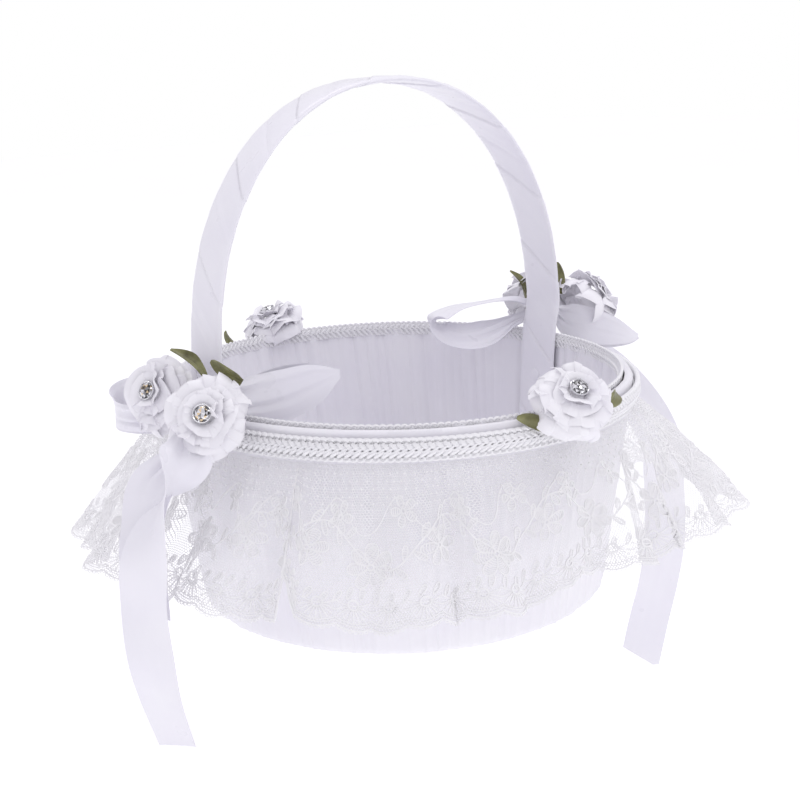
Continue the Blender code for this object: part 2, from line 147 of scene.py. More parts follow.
def grid_uv(p):
    """Lengths in metres across and along a grid, so that a weave keeps its size."""
    row = p[len(p) // 2]
    u = np.concatenate(([0], np.cumsum(np.linalg.norm(np.diff(row, axis=0), axis=1))))
    col = p[:, p.shape[1] // 2]
    v = np.concatenate(([0], np.cumsum(np.linalg.norm(np.diff(col, axis=0), axis=1))))
    return np.stack(np.broadcast_arrays(u[None, :], v[:, None]), axis=-1)


def shell(p, thickness, wrap=False):
    """A grid of points made into a closed sheet of that thickness."""
    rows, cols = p.shape[:2]
    lift = grid_normals(p, wrap) * thickness / 2
    points = np.concatenate(((p + lift).reshape(-1, 3), (p - lift).reshape(-1, 3)))
    top = grid_faces(rows, cols, wrap)
    size = rows * cols
    faces = [top, top[:, ::-1] + size]
    c = np.arange(cols if wrap else cols - 1)
    n = (c + 1) % cols
    last = (rows - 1) * cols
    faces.append(np.stack([n, c, c + size, n + size], axis=1))
    faces.append(np.stack([c + last, n + last, n + last + size, c + last + size], axis=1))
    if not wrap:
        r = np.arange(rows - 1) * cols
        e = r + cols - 1
        faces.append(np.stack([r, r + cols, r + cols + size, r + size], axis=1))
        faces.append(np.stack([e + cols, e, e + size, e + cols + size], axis=1))
    uv = grid_uv(p).reshape(-1, 2)
    return points, [np.concatenate(faces)], np.concatenate((uv, uv))


def tubes(paths, radius, sides=4, normals=None, closed=False):
    """Cords swept along paths of equal length, an array of (number, points, 3)."""
    paths = np.asarray(paths, dtype=float)
    n, k = paths.shape[:2]
    if closed:
        along = unit(np.roll(paths, -1, axis=1) - np.roll(paths, 1, axis=1))
    else:
        along = unit(np.gradient(paths, axis=1))
    ref = np.broadcast_to(UP if normals is None else normals, paths.shape)
    side = np.cross(along, ref)
    weak = np.linalg.norm(side, axis=-1, keepdims=True) < 1e-4
    side = unit(np.where(weak, np.cross(along, np.array((1.0, 0.1, 0.0))), side))
    other = np.cross(along, side)
    turn = 2 * math.pi * np.arange(sides) / sides + math.pi / sides
    r = np.broadcast_to(np.asarray(radius, dtype=float), (n, k))[..., None, None]
    ring = np.cos(turn)[:, None] * side[:, :, None, :] + np.sin(turn)[:, None] * other[:, :, None, :]
    points = (paths[:, :, None, :] + r * ring).reshape(-1, 3)
    i = np.arange(n)[:, None, None] * k * sides
    a = np.arange(k if closed else k - 1)[None, :, None]
    b = (a + 1) % k
    j = np.arange(sides)[None, None, :]
    m = (j + 1) % sides
    quads = np.stack([i + a * sides + j, i + a * sides + m, i + b * sides + m, i + b * sides + j], axis=-1)
    faces = [quads.reshape(-1, 4)]
    if not closed:
        start = np.arange(n)[:, None] * k * sides + np.arange(sides)[None, ::-1]
        end = np.arange(n)[:, None] * k * sides + (k - 1) * sides + np.arange(sides)[None, :]
        faces += [start, end]
    return points, faces, None


def joined(parts):
    """Several meshes as one."""
    points, faces, uvs, offset = [], [], [], 0
    for p, f, uv in parts:
        points.append(p)
        faces += [g + offset for g in f]
        uvs.append(np.zeros((len(p), 2)) if uv is None else uv)
        offset += len(p)
    return np.concatenate(points), faces, np.concatenate(uvs)


def piece(name, parts, mat, stands_for=(), body=BASKET, smooth=True, painted_reflections=None):
    """One visible piece from mesh data whose heights are measured from the base."""
    points, faces, uv = parts
    points = points + np.array((0.0, 0.0, BASE_Z))
    mesh = bpy.data.meshes.new(name)
    mesh.vertices.add(len(points))
    mesh.vertices.foreach_set("co", points.astype(np.float32).ravel())
    corners = np.concatenate([f.ravel() for f in faces]).astype(np.int32)
    sizes = np.concatenate([np.full(len(f), f.shape[1]) for f in faces])
    mesh.loops.add(len(corners))
    mesh.loops.foreach_set("vertex_index", corners)
    mesh.polygons.add(len(sizes))
    mesh.polygons.foreach_set("loop_start", np.concatenate(([0], np.cumsum(sizes)[:-1])).astype(np.int32))
    mesh.update(calc_edges=True)
    if uv is not None:
        layer = mesh.uv_layers.new(name="flat")
        layer.data.foreach_set("uv", uv[corners].astype(np.float32).ravel())
    if painted_reflections is not None:
        # per-facet colours, used for the painted reflections on the stones
        layer = mesh.color_attributes.new("painted_reflection", "FLOAT_COLOR", "CORNER")
        layer.data.foreach_set("color", np.repeat(painted_reflections, sizes, axis=0).astype(np.float32).ravel())
    mesh.validate()
    if smooth:
        mesh.shade_smooth()
        mesh.set_sharp_from_angle(angle=math.radians(50))
    mesh.materials.append(mat)
    obj = bpy.data.objects.new(name, mesh)
    bpy.context.scene.collection.objects.link(obj)
    if body:
        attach(obj, body)
    if stands_for:
        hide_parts(*stands_for)
    return obj


# ---- materials ----
class Paint:
    """A procedural material, built node by node."""

    def __init__(self, name, colour, roughness, **sockets):
        self.mat = bpy.data.materials.new(name)
        self.mat.use_nodes = True
        self.tree = self.mat.node_tree
        self.shader = self.tree.nodes["Principled BSDF"]
        self.colour = colour
        self.set("Base Color", (*colour, 1.0))
        self.set("Roughness", roughness)
        for key, value in sockets.items():
            self.set(key.replace("_", " "), value)

    def set(self, socket, value):
        self.shader.inputs[socket].default_value = value

    def node(self, kind, inputs=None, **settings):
        node = self.tree.nodes.new(kind)
        for key, value in settings.items():
            setattr(node, key, value)
        for key, value in (inputs or {}).items():
            if isinstance(value, bpy.types.NodeSocket):
                self.tree.links.new(value, node.inputs[key])
            else:
                node.inputs[key].default_value = value
        return node

    def link(self, source, socket):
        self.tree.links.new(source, self.shader.inputs[socket])

    def math(self, operation, *values):
        return self.node("ShaderNodeMath", dict(enumerate(values)), operation=operation).outputs[0]

    def vector(self, operation, *values, out=0):
        return self.node("ShaderNodeVectorMath", dict(enumerate(values)), operation=operation).outputs[out]

    def place(self, kind="Object"):
        return self.node("ShaderNodeTexCoord").outputs[kind]

    def noise(self, vector, scale, detail=3.0, rough=0.5):
        inputs = {"Vector": vector, "Scale": scale, "Detail": detail, "Roughness": rough}
        return self.node("ShaderNodeTexNoise", inputs).outputs[0]

    def bump(self, height, distance, strength=1.0, under=None):
        inputs = {"Height": height, "Distance": distance, "Strength": strength}
        if under is not None:
            inputs["Normal"] = under
        return self.node("ShaderNodeBump", inputs).outputs[0]

    def vary(self, factor, low, high, socket="Base Color"):
        ramp = self.node("ShaderNodeMapRange", {0: factor, 1: 0.3, 2: 0.7, 3: 0.0, 4: 1.0}).outputs[0]
        if socket == "Base Color":
            colours = {0: ramp, 6: (*low, 1), 7: (*high, 1)}
            mix = self.node("ShaderNodeMix", colours, data_type="RGBA").outputs[2]
        else:
            mix = self.node("ShaderNodeMapRange", {0: ramp, 3: low, 4: high}).outputs[0]
        self.link(mix, socket)


def cloth_weave(paint, pitch, depth, slubs=0.00004):
    """Fine warp and weft threads on the flat cloth, with a little unevenness over them."""
    uv = paint.place("UV")
    split = paint.node("ShaderNodeSeparateXYZ", {0: uv})
    turns = 2 * math.pi / pitch
    warp = paint.math("SINE", paint.math("MULTIPLY", split.outputs[0], turns))
    weft = paint.math("SINE", paint.math("MULTIPLY", split.outputs[1], turns))
    weave = paint.math("MULTIPLY", warp, weft)
    uneven = paint.noise(paint.place(), 260.0, 3.0)
    base = paint.bump(uneven, slubs, 0.6)
    paint.link(paint.bump(weave, depth, 0.5, under=base), "Normal")
    return uv


def satin(name, colour, low, roughness=0.36):
    paint = Paint(name, colour, roughness, Sheen_Weight=0.25, Sheen_Roughness=0.4, Anisotropic=0.35)
    paint.set("Specular IOR Level", 0.45)
    cloth_weave(paint, 0.00028, 0.000008)
    soft = paint.noise(paint.place(), 38.0, 4.0)
    paint.vary(soft, low, colour)
    paint.vary(paint.noise(paint.place(), 90.0, 2.0), roughness - 0.05, roughness + 0.07, "Roughness")
    return paint.mat


def thread(name, colour, low, twist=1400.0):
    paint = Paint(name, colour, 0.72, Sheen_Weight=0.35, Sheen_Roughness=0.5)
    fibre = paint.noise(paint.place(), twist, 2.0, 0.7)
    paint.vary(paint.noise(paint.place(), 300.0, 3.0), low, colour)
    paint.link(paint.bump(fibre, 0.00012, 0.6), "Normal")
    return paint.mat


def net(name, colour, cell, strand):
    """Fine hexagonal net: the holes between the strands are see-through."""
    paint = Paint(name, colour, 0.75, Sheen_Weight=0.2)
    scaled = paint.vector("MULTIPLY", paint.place("UV"), (1 / cell, 1 / cell, 0.0))
    tile = (1.0, 3 ** 0.5, 1.0)
    half = (0.5, 3 ** 0.5 / 2, 0.5)
    first = paint.vector("SUBTRACT", paint.vector("WRAP", scaled, tile, (0, 0, 0)), half)
    moved = paint.vector("ADD", scaled, half)
    second = paint.vector("SUBTRACT", paint.vector("WRAP", moved, tile, (0, 0, 0)), half)
    reach = [paint.vector("LENGTH", v, out=1) for v in (first, second)]
    near = paint.math("LESS_THAN", *reach)
    pick = paint.node("ShaderNodeMix", {0: near, 4: second, 5: first}, data_type="VECTOR").outputs[1]
    bare = paint.vector("ABSOLUTE", pick)
    slant = paint.vector("DOT_PRODUCT", bare, (0.5, 3 ** 0.5 / 2, 0.0), out=1)
    flat = paint.node("ShaderNodeSeparateXYZ", {0: bare}).outputs[0]
    edge = paint.math("SUBTRACT", 0.5, paint.math("MAXIMUM", flat, slant))
    width = strand / cell / 2
    ramp = {0: edge, 1: width * 0.75, 2: width * 1.25, 3: 1.0, 4: 0.0}
    alpha = paint.node("ShaderNodeMapRange", ramp).outputs[0]
    paint.link(alpha, "Alpha")
    paint.link(paint.bump(paint.math("SUBTRACT", 1.0, edge), 0.0001, 0.5), "Normal")
    paint.vary(paint.noise(paint.place(), 120.0), [c * 0.95 for c in colour], colour)
    return paint.mat


def metal(name, colour, roughness):
    paint = Paint(name, colour, roughness, Metallic=1.0)
    grain = paint.noise(paint.place(), 1800.0, 3.0)
    paint.vary(grain, roughness * 0.7, roughness * 1.4, "Roughness")
    paint.link(paint.bump(grain, 0.00002, 0.4), "Normal")
    return paint.mat


def crystal(name):
    """Foiled cut glass with a clear coat over it: each facet's base colour is a painted reflection, lighter
    or darker.
    """
    paint = Paint(name, (0.8, 0.8, 0.85), 0.06, Metallic=0.75, Coat_Weight=1.0, Coat_Roughness=0.02)
    painted_reflection = paint.node("ShaderNodeAttribute", attribute_name="painted_reflection")
    dust = paint.noise(paint.place(), 2600.0, 2.0)
    paint.vary(dust, 0.03, 0.14, "Roughness")
    # the per-facet colours are painted reflections, not the glass's own colour
    paint.link(painted_reflection.outputs["Color"], "Base Color")
    return paint.mat


def card(name):
    paint = Paint(name, (0.80, 0.79, 0.76), 0.85)
    fibres = paint.noise(paint.place(), 900.0, 6.0, 0.75)
    paint.vary(fibres, (0.70, 0.68, 0.64), (0.84, 0.83, 0.80))
    paint.link(paint.bump(fibres, 0.0001, 0.7), "Normal")
    return paint.mat


def olive(name):
    paint = Paint(name, (0.17, 0.17, 0.055), 0.42, Sheen_Weight=0.2, Anisotropic=0.3)
    cloth_weave(paint, 0.00030, 0.00001)
    paint.vary(paint.noise(paint.place(), 160.0, 4.0), (0.085, 0.08, 0.022), (0.25, 0.25, 0.10))
    return paint.mat


SATIN = satin("white_satin", (0.90, 0.89, 0.925), (0.87, 0.855, 0.91))
RIBBON = satin("ribbon_satin", (0.89, 0.88, 0.925), (0.86, 0.845, 0.91), roughness=0.32)
PETAL = satin("rose_satin", (0.91, 0.90, 0.93), (0.885, 0.87, 0.92), roughness=0.38)
GIMP = thread("gimp_cord", (0.91, 0.905, 0.92), (0.87, 0.865, 0.885))
LACE = thread("lace_thread", (0.93, 0.925, 0.93), (0.89, 0.885, 0.895), twist=2600.0)
NET = net("lace_net", (0.92, 0.915, 0.925), 0.0012, 0.00030)
LEAF = olive("olive_satin")
SILVER = metal("silver_plate", (0.80, 0.80, 0.82), 0.16)
RIVET = satin("rivet_satin_cover", (0.89, 0.88, 0.925), (0.87, 0.855, 0.915))
STONE = crystal("foiled_crystal")
CARD = card("stiff_card")


# ---- the basket's wall, read from the CAD cover ----
def oval_profile(name):
    points = node_points(name)
    heights = np.unique(np.round(points[:, 2], 5))
    levels = [np.abs(points[np.abs(points[:, 2] - z) < 2e-5]) for z in heights]
    return heights, np.array([p[:, 0].max() for p in levels]), np.array([p[:, 1].max() for p in levels])


WALL_Z, WALL_A, WALL_B = oval_profile("outer_satin_cover")
RIM_RISE = 0.0022  # the soft rim stands a little higher on the far side
RIM_DROP = 0.0006  # and is worn a little lower on the near side


def wall_axes(z):
    """The satin's outer half-axes at a height, carried on straight above the rim."""
    over = np.maximum(np.asarray(z) - WALL_Z[-1], 0) / (WALL_Z[-1] - WALL_Z[-2])
    a = np.interp(z, WALL_Z, WALL_A) + (WALL_A[-1] - WALL_A[-2]) * over
    b = np.interp(z, WALL_Z, WALL_B) + (WALL_B[-1] - WALL_B[-2]) * over
    return a, b


def wall_at(angle, z, out):
    a, b = wall_axes(z)
    x, y = (a + out) * np.cos(angle), (b + out) * np.sin(angle)
    return np.stack(np.broadcast_arrays(x, y, z + 0 * angle), axis=-1)


def far_side(p):
    """0 on the near side of the basket and 1 on the far side, along the photographer's line."""
    return np.clip(0.5 + (p[..., 0] * 0.63 + p[..., 1] * 0.78) / 0.22, 0, 1)


def even_angles(count, z=0.05):
    """Angles that divide the wall's outline into equal lengths."""
    fine = np.linspace(0, 2 * math.pi, 4001)
    a, b = wall_axes(z)
    p = np.stack((a * np.cos(fine), b * np.sin(fine)), axis=-1)
    length = np.concatenate(([0], np.cumsum(np.linalg.norm(np.diff(p, axis=0), axis=1))))
    return np.interp(np.arange(count) / count * length[-1], length, fine)


def raise_far_rim(rows):
    rows[..., 2] += RIM_RISE * far_side(rows) * np.clip((rows[..., 2] - 0.06) / 0.035, 0, 1)


def satin_outer_cover(angles):
    """The pleated outer satin, turned in over the rim and under the base."""
    top = WALL_Z[-1]
    pleats = folds(angles, 104, 0.7, seed=3) * 0.5 + folds(angles, 41, 1.0, seed=5) * 0.5
    rim = (top - 0.0012, top - 0.0002, top, top - 0.0006)
    z = np.concatenate((WALL_Z[:4], np.linspace(0.014, top - 0.003, 26), rim))
    out = np.concatenate((np.full(30, -0.0005), (-0.0007, -0.0014, -0.0026, -0.0038)))
    rise = np.clip(z / top, 0, 1)
    depth = 0.00062 * (1 - 0.55 * rise) * (z > 0.0005) * np.clip((top - z) / 0.012, 0.1, 1)
    rows = np.array([wall_at(angles, height, inset + pleats * d) for height, inset, d in zip(z, out, depth)])
    drift = ripple(angles[None, :] * 9, rise[:, None] * 4, seed=8) * 0.0002
    rows[:, :, :2] += unit(rows[:, :, :2]) * drift[..., None]
    raise_far_rim(rows)
    rows[..., 2] -= RIM_DROP * np.clip((rows[..., 2] - 0.085) / 0.01, 0, 1) * (1 - far_side(rows))
    cover = piece("satin_outer_cover", shell(rows, 0.0008, wrap=True), SATIN, ("outer_satin_cover",))


def satin_base_cover():
    """The cloth stretched over the underside, with faint pulls at its edge."""
    base_a, base_b = (float(x) - 0.0013 for x in wall_axes(0.0))
    turn = np.linspace(0, 2 * math.pi, 361)[:-1]
    rings = []
    for r in np.linspace(0.02, 1.0, 26):
        pulls = 0.0005 + 0.00008 * np.sin(30 * turn) * r ** 8
        rings.append(np.stack((base_a * r * np.cos(turn), base_b * r * np.sin(turn), pulls), axis=-1))
    under = np.array(rings)
    sheet = shell(under[::-1], 0.0008, wrap=True)
    cloth = piece("satin_base_cover", sheet, SATIN, ("base_satin_cover",))


def satin_lining(angles):
    """The gathered lining: broad soft folds with finer ones between them."""
    low, high = 0.0040, WALL_Z[-1] - 0.0005
    z = np.linspace(low, high, 34)
    rows = []
    for height, share in zip(z, (z - low) / (high - low)):
        bend = folds(angles + 0.006 * math.sin(5 * share), 56, 1.0, seed=11) * 0.6
        bend = bend + folds(angles + 0.012 * math.sin(3 * share + 1), 31, 1.5, seed=12) * 0.4
        bend = bend + folds(angles, 118, 1.2, seed=13) * 0.16
        rows.append(wall_at(angles, height, -0.0050 + bend * 0.00125 * (1 - 0.25 * share)))
    rows = np.array(rows)
    raise_far_rim(rows)
    lining = piece("satin_lining", shell(rows, 0.0006, wrap=True), SATIN, ("inner_satin_lining",))


def satin_body():
    angles = even_angles(1500)
    satin_outer_cover(angles)
    satin_base_cover()
    satin_lining(angles)


def floor_cushion():
    """The soft padded floor: crowned, with a tucked edge and slack wrinkles."""
    low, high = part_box("floor_pad")
    z0, z1 = low[2] - BASE_Z, high[2] - BASE_Z
    a, b = high[0], high[1]
    turn = np.linspace(0, 2 * math.pi, 241)[:-1]
    x, y = np.cos(turn), np.sin(turn)
    rows = [np.stack((0.02 * a * x, 0.02 * b * y, z0 + 0 * turn), axis=-1)]
    section = [(0.5, 0.0), (0.93, 0.0), (0.985, 0.10), (1.0, 0.30), (0.985, 0.52), (0.955, 0.66),
               (0.92, 0.74)]
    section += [(r, 0.76 + 0.24 * (1 - (r / 0.9) ** 2)) for r in np.linspace(0.88, 0.02, 24)]
    tucks = folds(turn, 34, 0.8, seed=21) - 0.6
    for r, h in section:
        crease = np.maximum(0, (r - 0.72) / 0.28) * (h > 0.4) * 0.0011 * tucks
        slack = 0.0006 * ripple(r * 5 * x, r * 5 * y, seed=22) * (h > 0.5) * (r < 0.95)
        height = z0 + (z1 - z0) * h + crease + np.minimum(slack, 0.0003)
        rows.append(np.stack((a * r * x, b * r * y, height), axis=-1))
    p = np.array(rows)
    faces = [grid_faces(len(p), p.shape[1], True), *end_caps(len(p), p.shape[1])]
    mesh = (p.reshape(-1, 3), faces, p[:, :, :2].reshape(-1, 2))
    pad = piece("satin_floor_pad", mesh, SATIN, ("floor_pad",))


# ---- gimp braids ----
class Rim:
    """Places flat (length, height, lift) layouts on the wall, inside or outside."""

    def __init__(self, z, outside, rise=0.0):
        self.rise = rise
        fine = np.linspace(0, 2 * math.pi, 4001)
        a, b = wall_axes(z)
        p = np.stack(((a + outside) * np.cos(fine), (b + outside) * np.sin(fine)), axis=-1)
        steps = np.linalg.norm(np.diff(p, axis=0), axis=1)
        self.length = steps.sum()
        self.at = np.concatenate(([0], np.cumsum(steps)))
        self.fine, self.z, self.out = fine, z, outside

    def place(self, s, h, lift):
        angle = np.interp(np.mod(s, self.length), self.at, self.fine)
        p = wall_at(angle, self.z + h, self.out + lift)
        p[..., 2] += self.rise * far_side(p)
        return p


def gimp(name, node, heights, out, face, pitch, slant, r, picots, rise):
    """A flat braid of chevron cords over a thin band. face is 1 outside and -1 inside, and picots the
    looped edges, 1 for the upper one and -1 for the lower."""
    half = (heights[1] - heights[0]) / 2 - r
    rim = Rim((heights[0] + heights[1]) / 2, out, rise)
    count = int(rim.length / pitch)
    step = rim.length / count
    s0 = np.arange(count)[:, None] * step
    parts = []
    t = np.linspace(0, 1, 7)[None, :]
    turn = np.linspace(0, 2 * math.pi, 13)[None, :-1]
    edge = np.linspace(0, rim.length, count * 6 + 1)[None, :-1]
    beat = edge / step * 2 * math.pi
    for sign in (1, -1):
        reach = half * (0.62 if sign in picots else 0.96)
        s = s0 - slant * t ** 0.9
        lift = face * r * (0.55 + 1.0 * np.sin(math.pi * np.clip(t * 0.86 + 0.12, 0, 1)) ** 0.8)
        parts.append(tubes(rim.place(s, sign * reach * t + 0 * s, lift + 0 * s), r, 5))
        if sign in picots:
            size = half * 0.32
            s = s0 - slant + size * 1.25 * np.cos(turn)
            h = sign * (half - size * 1.0 + size * 1.15 * np.sin(turn))
            loops = rim.place(s, h, face * r * (0.9 + 0.4 * np.cos(turn)))
            parts.append(tubes(loops, r * 0.75, 5, closed=True))
        h = sign * reach * 0.97 + 0.10 * half * np.sin(beat)
        border = rim.place(edge, h, face * r * (0.9 + 0.5 * np.cos(beat)))
        parts.append(tubes(border, r * 0.55, 4, closed=True))
    edge = np.linspace(0, rim.length, count * 8 + 1)[None, :-1]
    waves = count - count % 2
    for phase in (0.0, math.pi):
        wave = edge / rim.length * waves * math.pi + phase
        twist = rim.place(edge, 0.17 * half * np.sin(wave), face * r * (1.9 + 0.5 * np.cos(wave)))
        parts.append(tubes(twist, r * 0.5, 4, closed=True))
    piece(name, joined(parts), GIMP, (node,))
    turn = np.linspace(0, rim.length, 721)[:-1]
    band = [rim.place(turn, h, face * 0.0007 + 0 * turn) for h in np.linspace(-half, half, 4) * 0.9]
    piece(f"{name}_backing", shell(np.array(band), 0.0003, wrap=True), GIMP)


def braids():
    low, high = (corner[2] - BASE_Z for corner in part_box("inner_gimp_braid"))
    gimp("gimp_inner", "inner_gimp_braid", (low - 0.0012, high - 0.0016), out=-0.0046, face=-1, pitch=0.0028,
         slant=0.0022, r=0.00078, picots=(1,), rise=0.0045)
    low, high = (corner[2] - BASE_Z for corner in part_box("outer_gimp_braid"))
    gimp("gimp_outer", "outer_gimp_braid", (low + 0.0004, high + 0.0010), out=0.0013, face=1, pitch=0.0029,
         slant=0.0032, r=0.00100, picots=(1, -1), rise=0.0036)


# ---- ribbon routes, in millimetres from the base, as the CAD ribbons run ----
LOOPS = {  # path, widths, gathers, width directions
    "front_bow_inner_loop": (
        ((-109, -10, 106), (-103, -15, 107), (-95, -21, 105.5), (-87, -26, 106), (-80, -32, 108),
         (-71, -39, 112), (-63, -44, 115), (-69, -36, 112), (-77, -28, 109), (-86, -21, 106),
         (-96, -16, 106), (-107, -8, 105)),
        (7, 13, 19, 21, 20.5, 15.5, 3, 14.5, 19.5, 19, 14, 7),
        (1.2, 1.1, 0.8, 0.45, 0.3, 0.15, 0.0, 0.2, 0.4, 0.6, 1.0, 1.2),
        ((0, 0, 1),) * 12,
    ),
    "front_bow_outer_loop": (
        ((-109, 5, 105), (-111, 18, 106), (-114, 30, 106), (-118, 37, 104), (-122, 36, 100), (-124, 29, 97),
         (-117, 17, 96), (-112, 6, 98)),
        (6, 12, 13, 12, 11.5, 12, 11, 6), (1.0, 0.6, 0.2, 0.1, 0.0, 0.2, 0.7, 1.0),
        ((0, 0, 1),) * 8,
    ),
    "rear_bow_inner_loop": (
        ((103, 13, 114), (93, 17, 118), (78, 22, 118), (64, 26, 117), (54, 28, 114), (51, 28, 111),
         (54, 24, 106), (64, 19, 103), (78, 18, 104), (91, 16, 107), (103, 13, 110)),
        (5, 11, 17, 19, 19, 18.5, 18.5, 18.5, 16, 10, 5),
        (1.1, 0.9, 0.4, 0.15, 0.1, 0.05, 0.1, 0.2, 0.5, 0.9, 1.1),
        ((-6, -7, 1), (-6, -7, 1), (-6, -7, 1), (-6, -7, 0), (-6, -7, -2), (-6, -7, -4), (-6, -7, -5),
         (-5, -7, -5), (-5, -7, -5), (-5, -7, -3), (-5, -7, -2)),
    ),
    "rear_bow_outer_loop": (
        ((109, 2, 110), (110, -4, 107), (113, -13, 105), (120, -23, 102), (127, -29, 99), (132, -31, 98),
         (128, -28, 98), (121, -19, 100), (116, -8, 103), (113, 0, 106)),
        (9, 17, 18.5, 15, 8, 2.5, 8, 15, 16, 10), (0.9, 0.4, 0.2, 0.1, 0.0, 0.0, 0.0, 0.2, 0.5, 0.9),
        ((0, 0, 1),) * 10,
    ),
}
TAILS = {  # path, width directions, slant of the cut end
    "front_tail_long": (
        ((-124, -28, 98), (-128, -30, 92), (-135, -32, 84), (-142, -32, 76), (-147, -31, 66), (-150, -28, 51),
         (-150, -25, 33), (-149, -25, 12), (-146, -24, -6), (-141, -25, -27)),
        ((8, -6, 0), (10, -3, 0), (9, 3, 0), (5, 8, 0), (0, 10, 0), (-5, 9, 0), (-5, 9, 0), (-5, 9, 0),
         (-4, 9, 0), (-3, 10, 0)), 0.1),
    "front_tail_short": (
        ((-128, -17, 87), (-136, -17, 81), (-141, -17, 72), (-144, -18, 59), (-145, -18, 44),
         (-145, -18, 30)),
        ((7, -7, 0), (5, -9, 0), (4, -9, 0), (4, -9, 0), (5, -9, 0), (5, -9, 0)), 0.3),
    "rear_tail_long": (
        ((120, 3, 91), (131, -9, 80), (143, -21, 62), (151, -28, 42), (153, -29, 22), (154, -29, 0),
         (153, -29, -18), (149, -28, -38), (144, -26, -57), (138, -25, -77)),
        ((7, -6, 0), (8, -6, 0), (8, -6, 0), (8, -6, 0), (8, -6, 0), (8, -6, 0), (8, -6, 0), (8, -6, 0),
         (8, -6, 0), (8, -6, 0)), 0.35),
    "rear_tail_short": (
        ((120, 24, 88), (133, 25, 78), (144, 26, 62), (150, 27, 44), (152, 28, 22), (151, 29, 0),
         (149, 30, -22)),
        ((0, 10, 0), (0, 10, 0), (1, 10, 0), (1, 10, 0), (1, 10, 0), (1, 10, 0), (1, 10, 0)), 0.3),
}
RIBBON_WIDTH = 0.021


# ---- lace ruffle ----
LACE_SHAPE = node_points("lace_ruffle")
LACE_TOP = LACE_SHAPE[:, 2].max()
FOLDS = 24


def hem_line():
    """The hem's radius and height in every direction, read from the CAD ruffle."""
    around = np.arctan2(LACE_SHAPE[:, 1], LACE_SHAPE[:, 0]) % (2 * math.pi)
    bins = np.floor(around / (2 * math.pi) * 104 + 0.5).astype(int) % 104
    angle, radius, height = [], [], []
    for k in range(104):
        these = LACE_SHAPE[bins == k]
        if len(these):
            p = these[these[:, 2].argmin()]
            angle.append(math.atan2(p[1], p[0]) % (2 * math.pi))
            radius.append(math.hypot(p[0], p[1]))
            height.append(p[2])
    order = np.argsort(angle)
    return np.array(angle)[order], np.array(radius)[order], np.array(height)[order]


HEM_ANGLE, HEM_RADIUS, HEM_HEIGHT = hem_line()


def fold_table():
    """Irregular flutes: where each starts, how deep it is, and how far it leans on its way down."""
    rng = np.random.default_rng(17)
    widths = rng.uniform(0.6, 1.5, FOLDS)
    edges = np.concatenate(([0], np.cumsum(widths))) / widths.sum() * 2 * math.pi
    depth = rng.uniform(0.35, 1.0, FOLDS)
    lean = rng.uniform(-0.22, 0.22, FOLDS)
    return edges, np.append(depth, depth[0]), np.append(lean, lean[0])


FOLD_EDGES, FOLD_DEPTH, FOLD_LEAN = fold_table()


def pressed(angle):
    """Where a hanging ribbon tail holds the lace down, from 0 to 1."""
    total = np.zeros(np.shape(angle))
    for name in TAILS:
        mid = np.array(TAILS[name][0][len(TAILS[name][0]) // 2], dtype=float)
        at = math.atan2(mid[1], mid[0])
        gap = (angle - at + math.pi) % (2 * math.pi) - math.pi
        total = np.maximum(total, np.exp(-(gap / 0.11) ** 4))
    return total


def near(angle, middle, spread):
    """A smooth hump, 1 at the middle direction and falling away to nothing beyond the spread."""
    return np.exp(-((angle % (2 * math.pi) - middle) / spread) ** 2)


def lace_surface(angle, share):
    """A point of the gathered lace. share is 0 at the sewn top and 1 at the hem."""
    angle, share = np.broadcast_arrays(angle, share)
    where = np.interp(angle % (2 * math.pi), FOLD_EDGES, np.arange(FOLDS + 1))
    deep = np.interp(where, np.arange(FOLDS + 1), FOLD_DEPTH)
    lean = np.interp(where, np.arange(FOLDS + 1), FOLD_LEAN)
    phase = 2 * math.pi * where + lean * 2 * math.pi * (1 - share)
    wave = 1 - 2 * (0.5 - 0.5 * np.cos(phase)) ** 1.6
    wave = wave + 0.22 * np.cos(2 * phase + 1.1) * np.sin(math.pi * share)
    hem_r = np.interp(angle, HEM_ANGLE, HEM_RADIUS, period=2 * math.pi)
    hem_z = np.interp(angle, HEM_ANGLE, HEM_HEIGHT, period=2 * math.pi)
    a, b = wall_axes(LACE_TOP)
    top_r = a * b / np.sqrt((b * np.cos(angle)) ** 2 + (a * np.sin(angle)) ** 2)
    hold = pressed(angle)
    left = near(angle, 2.45, 0.6)
    flare = (hem_r - top_r) * (1 - 0.16 * left) * share ** (0.82 + 0.38 * hold)
    room = 0.0150 * deep * share ** 0.8
    limit = 0.9 * flare
    calm = 1 - 0.5 * left - 0.5 * near(angle, 4.0, 0.7)
    amp = room * limit / np.maximum(room + limit, 1e-6) * (1 - 0.8 * hold) * calm
    gather = np.clip(1 - share / 0.45, 0, 1) ** 1.5
    fine = folds(angle, 150, 1.3, seed=31)
    slack = 0.0009 * share * (1 - share) * 4 * ripple(angle * 14, share * 5, seed=33)
    out = 0.0007 + flare + amp * (wave - 0.85) + 0.0007 * gather * (fine + 1) + slack
    out = np.where(out < 0.0016, 0.0006 + 0.001 * np.exp((out - 0.0016) / 0.001), out)
    slide = (-0.0036 * deep * calm * share ** 1.3 * np.sin(2 * phase)) / (top_r + out)
    out = out - 0.0035 * hold * share
    hitch = 0.0045 * near(angle, 3.75, 0.3)
    z = LACE_TOP + (hem_z - LACE_TOP) * share + (0.0022 * wave + hitch) * share ** 2
    r = top_r + out
    return np.stack((r * np.cos(angle + slide), r * np.sin(angle + slide), z), axis=-1)


def lace_metrics():
    fine = np.linspace(0, 2 * math.pi, 12001)
    hem = lace_surface(fine, 0.95 + 0 * fine)
    length = np.concatenate(([0], np.cumsum(np.linalg.norm(np.diff(hem, axis=0), axis=1))))
    side = lace_surface(np.full(60, 5.4), np.linspace(0, 1, 60))
    return fine, length, float(np.linalg.norm(np.diff(side, axis=0), axis=1).sum())


